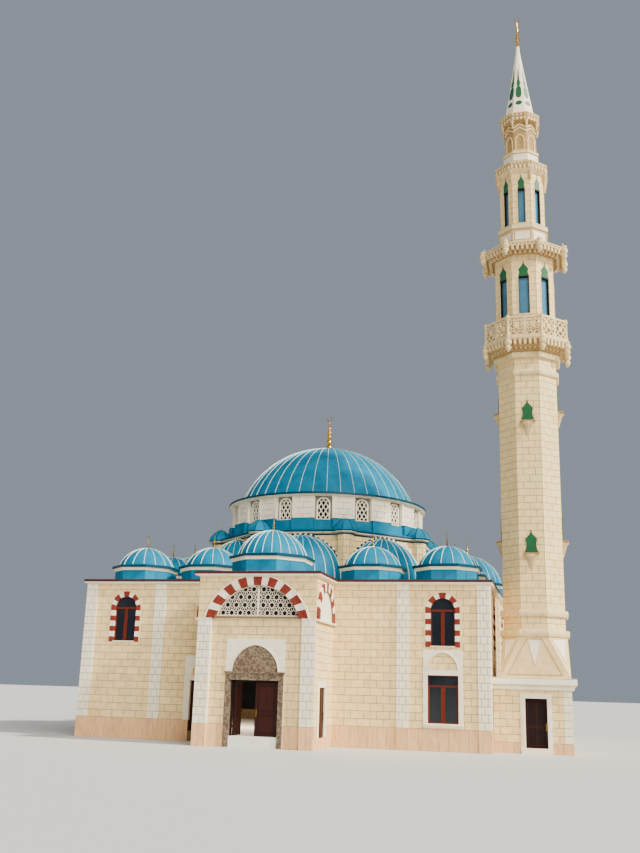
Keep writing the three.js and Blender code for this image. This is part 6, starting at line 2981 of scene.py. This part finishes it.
@dataclass
class Crown:
    """The canopies, neck and cone above the lanterns.

    Args:
        shaft: the minaret's shaft.
        lower_edge: apothem of the lower canopy's rim.
        lower_rim: foot and top of that rim.
        lower_band: apothem, foot and top of the panelled band above it.
        upper_edge: apothem of the upper canopy's rim.
        upper_rim: foot and top of that rim.
        upper_band: apothem, foot and top of the band above it.
        neck: apothem, foot and top of the neck.
        crown: apothem, foot and top of the crown's rim.
        cone: apothem, foot and tip of the cone.
        tip: top of the crescent.
        pendant_top: where the lower canopy's drops hang from.
        mouldings: apothem, foot and top of the plain bands between the storeys.
        cove: (apothem, height) profile of the cove under the upper canopy.
    """

    shaft: Shaft
    lower_edge: float = 2.05
    lower_rim: Flat = (24.3, 24.448)
    lower_band: tuple[float, float, float] = (1.17, 24.9, 25.572)
    upper_edge: float = 1.31
    upper_rim: Flat = (29.18, 29.373)
    upper_band: tuple[float, float, float] = (0.86, 29.693, 30.082)
    neck: tuple[float, float, float] = (0.776, 30.277, 31.96)
    crown: tuple[float, float, float] = (1.005, 32.226, 32.466)
    cone: tuple[float, float, float] = (0.75, 32.64, 36.96)
    tip: float = 39.117
    pendant_top: float = 24.56
    mouldings: tuple[tuple[float, float, float], ...] = (
        (1.25, 25.6, 25.853), (0.91, 30.11, 30.277), (0.776, 30.277, 30.4))
    cove: tuple[Flat, ...] = ((1.08, 28.79), (1.155, 28.79), (1.305, 28.95), (1.32, 28.99), (1.08, 28.99))

    def build(self) -> None:
        """Builds everything from the lower canopy to the crescent."""
        # Painted shade: the cores of the canopies and the neck in the darker ochre, so that the hollows of
        # the carving look shaded.
        for node in ("lower_canopy", "upper_canopy", "minaret_neck"):
            dress(node, OCHRE_AND_PAINTED_SHADE)
        dress("minaret_cone", CAST_STONE)
        self.shaft.around(self._carving(), "crown_carving", CARVED_STONE)
        self.shaft.around(self._plates(), "crown_plates", CAST_STONE)
        drop = pendant(self.lower_edge - 0.02, self.pendant_top)
        self.shaft.around(drop, "lower_canopy_pendants", CARVED_STONE, HALF_EIGHTH)
        bands = Draft()
        for apothem, low, high in self.mouldings:
            bands.octagon([(apothem - 0.06, low - 0.02), (apothem + 0.02, low),
                           (apothem + 0.02, high - 0.03), (apothem - 0.06, high)], self.shaft.axis, True)
        bands.octagon(self.cove, self.shaft.axis, True)
        bands.piece("crown_bands", CARVED_STONE)
        collar = Draft()
        foot = self.cone[2]
        collar.lathe([(0.0, foot - 0.1), (0.115, foot - 0.1), (0.08, foot + 0.3), (0.0, foot + 0.3)], 16,
                     self.shaft.axis)
        collar.piece("cone_collar", CAST_STONE)
        self.shaft.around(self._corner_drops(), "upper_canopy_drops", CARVED_STONE, HALF_EIGHTH)
        self._cone_ornaments()
        gilt = Draft()
        beads = ((0.035, 0.05), (0.03, 0.12), (0.068, 0.22), (0.045, 0.36), (0.04, 0.47))
        foot = self.cone[2] + 0.28
        Finial(self.tip - foot, beads, 0.085).add(gilt, *self.shaft.axis, foot, 20)
        gilt.piece("minaret_finial_gilt", GILT, replaces=["minaret_finial"])

    @staticmethod
    def _row(draft: Draft, apothem: float, levels: Flat, count: int, share: float,
             proud: float) -> None:
        """Adds a row of blocks along one face, drawn at +X.

        Args:
            draft: takes the blocks.
            apothem: from the axis to the face.
            levels: their foot and top.
            count: how many.
            share: the part of the pitch that a block takes up.
            proud: how far they stand out.
        """
        facet, half = Facet(apothem, 0.0, 0), apothem * HALF_SIDE
        pitch = 2 * half / count
        reach = pitch * share / 2
        for k in range(count):
            middle = -half + (k + 0.5) * pitch
            draft.slab(facet, middle - reach, middle + reach, *levels, -0.12, proud)

    @staticmethod
    def _panels(draft: Draft, apothem: float, levels: Flat, proud: float) -> None:
        """Adds a frame to one face, with a thin line of the ochre ground left bare inside it: painted shade
        between the frame and the plate.

        Args:
            draft: takes the frame.
            apothem: from the axis to the face.
            levels: its foot and top.
            proud: how far it stands out.
        """
        half = apothem * HALF_SIDE
        low, high = levels
        strip = 0.07
        draft.strip(apothem, low, low + strip, -0.03, proud)
        draft.strip(apothem, high - strip, high, -0.03, proud)
        draft.pair(Facet(apothem, 0.0, 0), half - strip, half, low + strip, high - strip, -0.03, proud)

    def _plates(self) -> Draft:
        """Returns the white plates of both bands on one face, drawn at +X.

        Returns:
            A draft round the minaret's axis.
        """
        draft = Draft()
        for (apothem, low, high), edge in ((self.lower_band, 0.105), (self.upper_band, 0.0)):
            half = apothem * HALF_SIDE - edge
            draft.slab(Facet(apothem, 0.0, 0), -half, half, low + edge, high - edge, -0.03, 0.025)
        return draft

    @staticmethod
    def _rosettes(draft: Draft, apothem: float, height: float, count: int, radius: float) -> None:
        """Adds a row of six-petalled rosettes along one face.

        Args:
            draft: takes the rosettes.
            apothem: from the axis to the face.
            height: of their middles.
            count: how many.
            radius: of each.
        """
        half = apothem * HALF_SIDE
        facet = Facet(apothem, 0.0, 0)
        for k in range(count):
            middle = -half + (k + 0.5) * 2 * half / count
            for petal in range(6):
                turn = math.radians(60 * petal)
                centre = (middle + radius * 0.6 * math.cos(turn), height + radius * 0.6 * math.sin(turn))
                draft.prism(facet, arc(centre, radius * 0.32, 0, 300, 5), -0.02, 0.022)
            draft.prism(facet, arc((middle, height), radius * 0.25, 0, 300, 5), -0.02, 0.03)

    def _carving(self) -> Draft:
        """Returns the carving of one face of every storey, drawn at +X.

        Returns:
            A draft round the minaret's axis.
        """
        draft = Draft()
        low, high = self.lower_rim
        self._rosettes(draft, self.lower_edge, (low + high) / 2, 9, 0.07)
        self._row(draft, self.lower_edge - 0.03, (low - 0.22, low + 0.01), 7, 0.5, 0.03)
        self._row(draft, self.lower_edge - 0.3, (low - 0.3, low - 0.1), 6, 0.42, 0.03)
        draft.strip(self.lower_edge, high - 0.03, high + 0.02, -0.1, 0.03)
        draft.strip(self.lower_edge, low - 0.02, low + 0.02, -0.1, 0.025)
        apothem, foot, top = self.lower_band
        self._panels(draft, apothem, (foot, top), 0.025)
        low, high = self.upper_rim
        self._rosettes(draft, self.upper_edge, (low + high) / 2, 6, 0.065)
        self._row(draft, self.upper_edge - 0.03, (low - 0.2, low + 0.01), 5, 0.5, 0.07)
        draft.strip(self.upper_edge, high - 0.03, high + 0.02, -0.1, 0.03)
        self._neck(draft)
        return draft

    def _neck(self, draft: Draft) -> None:
        """Adds the chevrons, arches and rim of the neck to one face.

        Args:
            draft: takes the carving.
        """
        apothem, foot, top = self.neck
        half = apothem * HALF_SIDE
        facet = Facet(apothem, 0.0, 0)
        for level in (top - 0.12, top - 0.32):
            for side in (-1, 1):
                outline = [(0.0, level), (side * half, level - 0.22), (side * half, level - 0.13),
                           (0.0, level + 0.09)]
                draft.prism(facet, outline if side > 0 else outline[::-1], -0.02, 0.04)
        arch = pointed_arch(half * 0.6, foot + 0.62, foot + 0.95, 5)
        wide = [(u * 1.28, foot + 0.62 + (z - foot - 0.62) * 1.2) for u, z in arch]
        draft.band(facet, arch, wide, -0.02, 0.04)
        draft.pair(facet, half * 0.6, half * 0.77, foot + 0.08, foot + 0.62, -0.02, 0.04)
        draft.strip(apothem, foot, foot + 0.09, -0.02, 0.05)
        rim, low, high = self.crown
        self._row(draft, rim - 0.02, (low - 0.16, low + 0.01), 4, 0.5, 0.02)
        self._rosettes(draft, rim, (low + high) / 2, 4, 0.075)
        draft.strip(rim, high - 0.03, high + 0.02, -0.1, 0.025)

    def _corner_drops(self) -> Draft:
        """Returns the pointed, fluted drop under one corner of the upper canopy.

        Returns:
            A draft round the minaret's axis.
        """
        draft = Draft()
        low, spot = self.upper_rim[0], (self.upper_edge * 0.97, 0.0)
        draft.lathe([(0.0, low - 0.85), (0.03, low - 0.82), (0.07, low - 0.55), (0.13, low - 0.2),
                     (0.15, low - 0.06), (0.14, low), (0.0, low)], 8, spot, HALF_EIGHTH)
        for turn in range(-60, 61, 30):
            draft.rib([(0.03, low - 0.8), (0.075, low - 0.55), (0.135, low - 0.2)], 0.03, 0.018, spot, turn)
        rim, crown_low, _ = self.crown
        draft.lathe([(0.0, crown_low - 0.6), (0.02, crown_low - 0.58), (0.06, crown_low - 0.36),
                     (0.11, crown_low - 0.1), (0.12, crown_low), (0.0, crown_low)], 8, (rim * 0.95, 0.0),
                    HALF_EIGHTH)
        top = self.lower_rim[1]
        draft.lathe([(0.0, top), (0.07, top), (0.09, top + 0.08), (0.04, top + 0.13), (0.06, top + 0.18),
                     (0.0, top + 0.32)], 8, ((self.lower_edge - 0.08) * TO_CORNER, 0.0))
        return draft

    def _cone_ornaments(self) -> None:
        """Builds the green spires and drops on the cone's faces."""
        apothem, foot, tip = self.cone
        rise = tip - foot
        green = Draft()
        spire = Ornament.spire(0.15, foot + rise * 0.238, foot + rise * 0.708)
        bends = ((0.0, 1.0), (0.32, 0.7), (0.66, 0.4), (1.0, 0.12))
        for (share0, wide0), (share1, wide1) in zip(bends, bends[1:]):
            low, high = foot + rise * share0, foot + rise * share1
            run = apothem * (wide0 - wide1)
            facet = Facet(apothem * wide0, 0.0, 0, math.degrees(math.atan2(run, high - low)), low)
            fan(green, facet, spire, -0.02, 0.018, (low, high))
        low_facet = Facet(apothem, 0.0, 0, math.degrees(math.atan2(apothem * 0.3, rise * 0.32)), foot)
        oval = [(0.17 * x, foot + 0.66 + 0.14 * z) for x, z in arc((0.0, 0.0), 1.0, 0, 345, 23)]
        green.prism(low_facet, oval, -0.02, 0.018)
        self.shaft.around(green, "cone_enamel", GREEN_PANEL)


# Doors


@dataclass
class Doors:
    """The leaves, frames and fixed doors.

    Args:
        rail: width of a leaf's rails and stiles.
        proud: how far they stand out of the leaf.
        minaret_leaf: thickness of the minaret's leaf, whose hinges stand out in front of it.
        middle: height of the middle rail, as a share of the leaf.
        pull: half the height of the pull.
    """

    rail: float = 0.11
    proud: float = 0.012
    minaret_leaf: float = 0.055
    middle: float = 0.42
    pull: float = 0.16

    def build(self) -> None:
        """Dresses the CAD doors and adds their panels."""
        leaves = ("main_door_left", "main_door_right", "minaret_door", "wing_door", "portal_side_door")
        for node in ("main_door_frame", *leaves):
            dress(node, DARK_LEAF)
        for node, body, (low, high), faces_right, hand in (
            ("main_door_right", "main_leaf_right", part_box("main_door_right"), False, -1),
            ("main_door_left", "main_leaf_left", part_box("main_door_left"), True, 1),
            ("minaret_door", "minaret_leaf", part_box("minaret_door"), False, 1),
            ("wing_door", BUILDING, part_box("wing_door"), False, 1),
            ("portal_side_door", BUILDING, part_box("portal_side_door"), True, 1),
        ):
            front = high.y - self.minaret_leaf if node == "minaret_door" else low.y
            facet, half = Facet((low.x + high.x) / 2, front, -90), (high.x - low.x) / 2
            if faces_right:
                facet, half = Facet(high.x, (low.y + high.y) / 2, 0), (high.y - low.y) / 2
            self._leaf(node, body, facet, half, (low.z, high.z), hand)
        self._surround()

    def _leaf(self, node: str, body: str, facet: Facet, half: float, levels: Flat,
              hand: int = 1) -> None:
        """Adds stiles, rails, raised panels and a pull to one leaf.

        Args:
            node: the leaf's CAD node.
            body: the body that it moves with.
            facet: its face.
            half: half its width.
            levels: foot and head of the leaf.
            hand: 1 or -1, the side of the pull.
        """
        draft, gilt = Draft(), Draft()
        rail, sunk, inset = self.rail, -0.003, 0.05
        half -= 0.015
        foot, head = levels[0] + 0.01, levels[1] - 0.01
        middle = foot + (head - foot) * self.middle
        draft.pair(facet, half - rail, half, foot, head, sunk, self.proud)
        for low in (foot, middle - rail / 2, head - rail):
            draft.slab(facet, -half + rail, half - rail, low, low + rail, sunk, self.proud)
        for low, high in ((foot + rail, middle - rail / 2), (middle + rail / 2, head - rail)):
            edge = half - rail - inset
            draft.slab(facet, -edge, edge, low + inset, high - inset, sunk, self.proud * 0.6)
        draft.slab(facet, -0.025, 0.025, foot, head, sunk, self.proud * 1.5)
        grip = ends_on(hand, half - 0.07, half - 0.045)
        gilt.slab(facet, *grip, middle - self.pull, middle + self.pull, 0.0, self.proud + 0.03)
        draft.piece(f"{node}_panels", WORN_LEAF, body=body)
        gilt.piece(f"{node}_pull", GILT, body=body)

    def _surround(self) -> None:
        """Builds the pale surround of the wing door, with its blind arch."""
        left, right, top = Hall().wing_door
        low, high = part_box("wing_door")
        facet = Facet(0.0, -Hall().half_depth, -90)
        pale, fill = Draft(), Draft()
        head = high.z
        for ends in ((left, low.x + 0.008), (high.x - 0.008, right)):
            pale.slab(facet, *ends, 0.943, head, -0.16, 0.035)
        foot = head + 0.2
        pale.slab(facet, left, right, head - 0.008, foot, -0.16, 0.035)
        shifted = facet.shifted((left + right) / 2)
        half = (right - left) / 2
        for part in cut_out(rectangle(-half, half, foot, top), pointed_arch(0.5, foot, top - 0.15, 10)):
            pale.prism(shifted, part, -0.01, 0.035)
        ARCH_FILL.lay(fill, shifted, (-half + 0.02, half - 0.02), (foot, top - 0.02))
        pale.piece("wing_door_surround", CAST_STONE)
        fill.piece("wing_door_arch_fill", LIMESTONE)


# Studio


@dataclass(frozen=True)
class Studio:
    """A pale floor, soft light and the camera.

    Args:
        reach: half the floor's width.
        place: of the camera.
        yaw: radians that the camera turns to the left.
        pitch: radians that it looks up.
        roll: radians that it leans.
        lens: in millimetres.
        sky: linear colour of the sky's light.
        sky_strength: strength of that light.
    """

    reach: float = 400.0
    place: Point = (13.124, -54.42, 2.552)
    yaw: float = 0.2469
    pitch: float = 0.2635
    roll: float = 0.0283
    lens: float = 40.93
    sky: tuple[float, float, float, float] = (0.7, 0.8, 0.95, 1.0)
    sky_strength: float = 0.38

    def build(self) -> None:
        """Builds the studio."""
        self._floor()
        self._lights()
        self._camera()

    def _floor(self) -> None:
        """Lays the plain pale floor."""
        mesh = bpy.data.meshes.new("floor")
        r = self.reach
        mesh.from_pydata([(-r, -r, 0.0), (r, -r, 0.0), (r, r, 0.0), (-r, r, 0.0)], [], [(0, 1, 2, 3)])
        material = bpy.data.materials.new("studio_floor")
        material.use_nodes = True
        shader = material.node_tree.nodes["Principled BSDF"]
        shader.inputs["Base Color"].default_value = linear("C4C2BD")
        shader.inputs["Roughness"].default_value = 0.9
        mesh.materials.append(material)
        floor = show("studio_floor", mesh)

    def _lights(self) -> None:
        """Sets a sun from the right, a broad fill from the front, an even sky and two lamps indoors."""
        for name, energy, angle, turn, colour in (
            ("key", 7.2, 4.0, (math.radians(52), 0.0, math.radians(80)), (1.0, 0.95, 0.86)),
            ("fill", 4.0, 40.0, (math.radians(58), 0.0, math.radians(36)), (1.0, 0.95, 0.87)),
        ):
            data = bpy.data.lights.new(name, "SUN")
            data.energy = energy
            data.angle = math.radians(angle)
            data.color = colour
            show(name, data).rotation_euler = turn
        world = bpy.data.worlds.new("studio")
        world.use_nodes = True
        background = world.node_tree.nodes["Background"]
        background.inputs[0].default_value = self.sky
        background.inputs[1].default_value = self.sky_strength
        bpy.context.scene.world = world
        for name, energy, size, spot in (("hall_lamp", 2400.0, 1.0, (-4.0, -4.0, 4.5)),
                                         ("porch_lamp", 30.0, 0.3, (0.5, -11.3, 2.9))):
            data = bpy.data.lights.new(name, "POINT")
            data.energy = energy
            data.color = (1.0, 0.85, 0.7)
            data.shadow_soft_size = size
            show(name, data).location = spot

    def _camera(self) -> None:
        """Sets the camera at the photograph's viewing angle."""
        cos_yaw, sin_yaw = math.cos(self.yaw), math.sin(self.yaw)
        cos_pitch, sin_pitch = math.cos(self.pitch), math.sin(self.pitch)
        forward = Vector((-sin_yaw * cos_pitch, cos_yaw * cos_pitch, sin_pitch))
        right = Vector((cos_yaw, sin_yaw, 0.0))
        up = right.cross(forward)
        cos_roll, sin_roll = math.cos(self.roll), math.sin(self.roll)
        across = right * cos_roll + up * sin_roll
        above = up * cos_roll - right * sin_roll
        turn = Matrix((across, above, -forward)).transposed().to_4x4()
        data = bpy.data.cameras.new("camera")
        data.lens = self.lens
        data.sensor_width = 36.0
        data.sensor_fit = "AUTO"
        data.clip_end = 1000.0
        camera = show("camera", data)
        camera.matrix_world = Matrix.Translation(Vector(self.place)) @ turn
        bpy.context.scene.camera = camera


def main() -> None:
    """Builds the sub-assemblies in order."""
    logging.basicConfig(level=logging.INFO, format="%(message)s")
    Studio().build()
    shaft = Shaft()
    lower = Lantern("lower", 1.44, (19.465, 24.02), (0.27, 20.84, 22.84, 23.7))
    upper = Lantern("upper", 1.11, (25.853, 28.8), (0.19, 25.96, 27.9, 28.77))
    for assembly in (Hall(), Portal(), Eaves(), Tier(), Drum(), MainDome(), RoofDomes(), shaft,
                     Balcony(shaft), Crown(shaft), Doors()):
        assembly.build()
    for storey in (lower, upper):
        storey.build(shaft)
    bpy.context.view_layer.update()


if __name__ == "__main__":
    main()
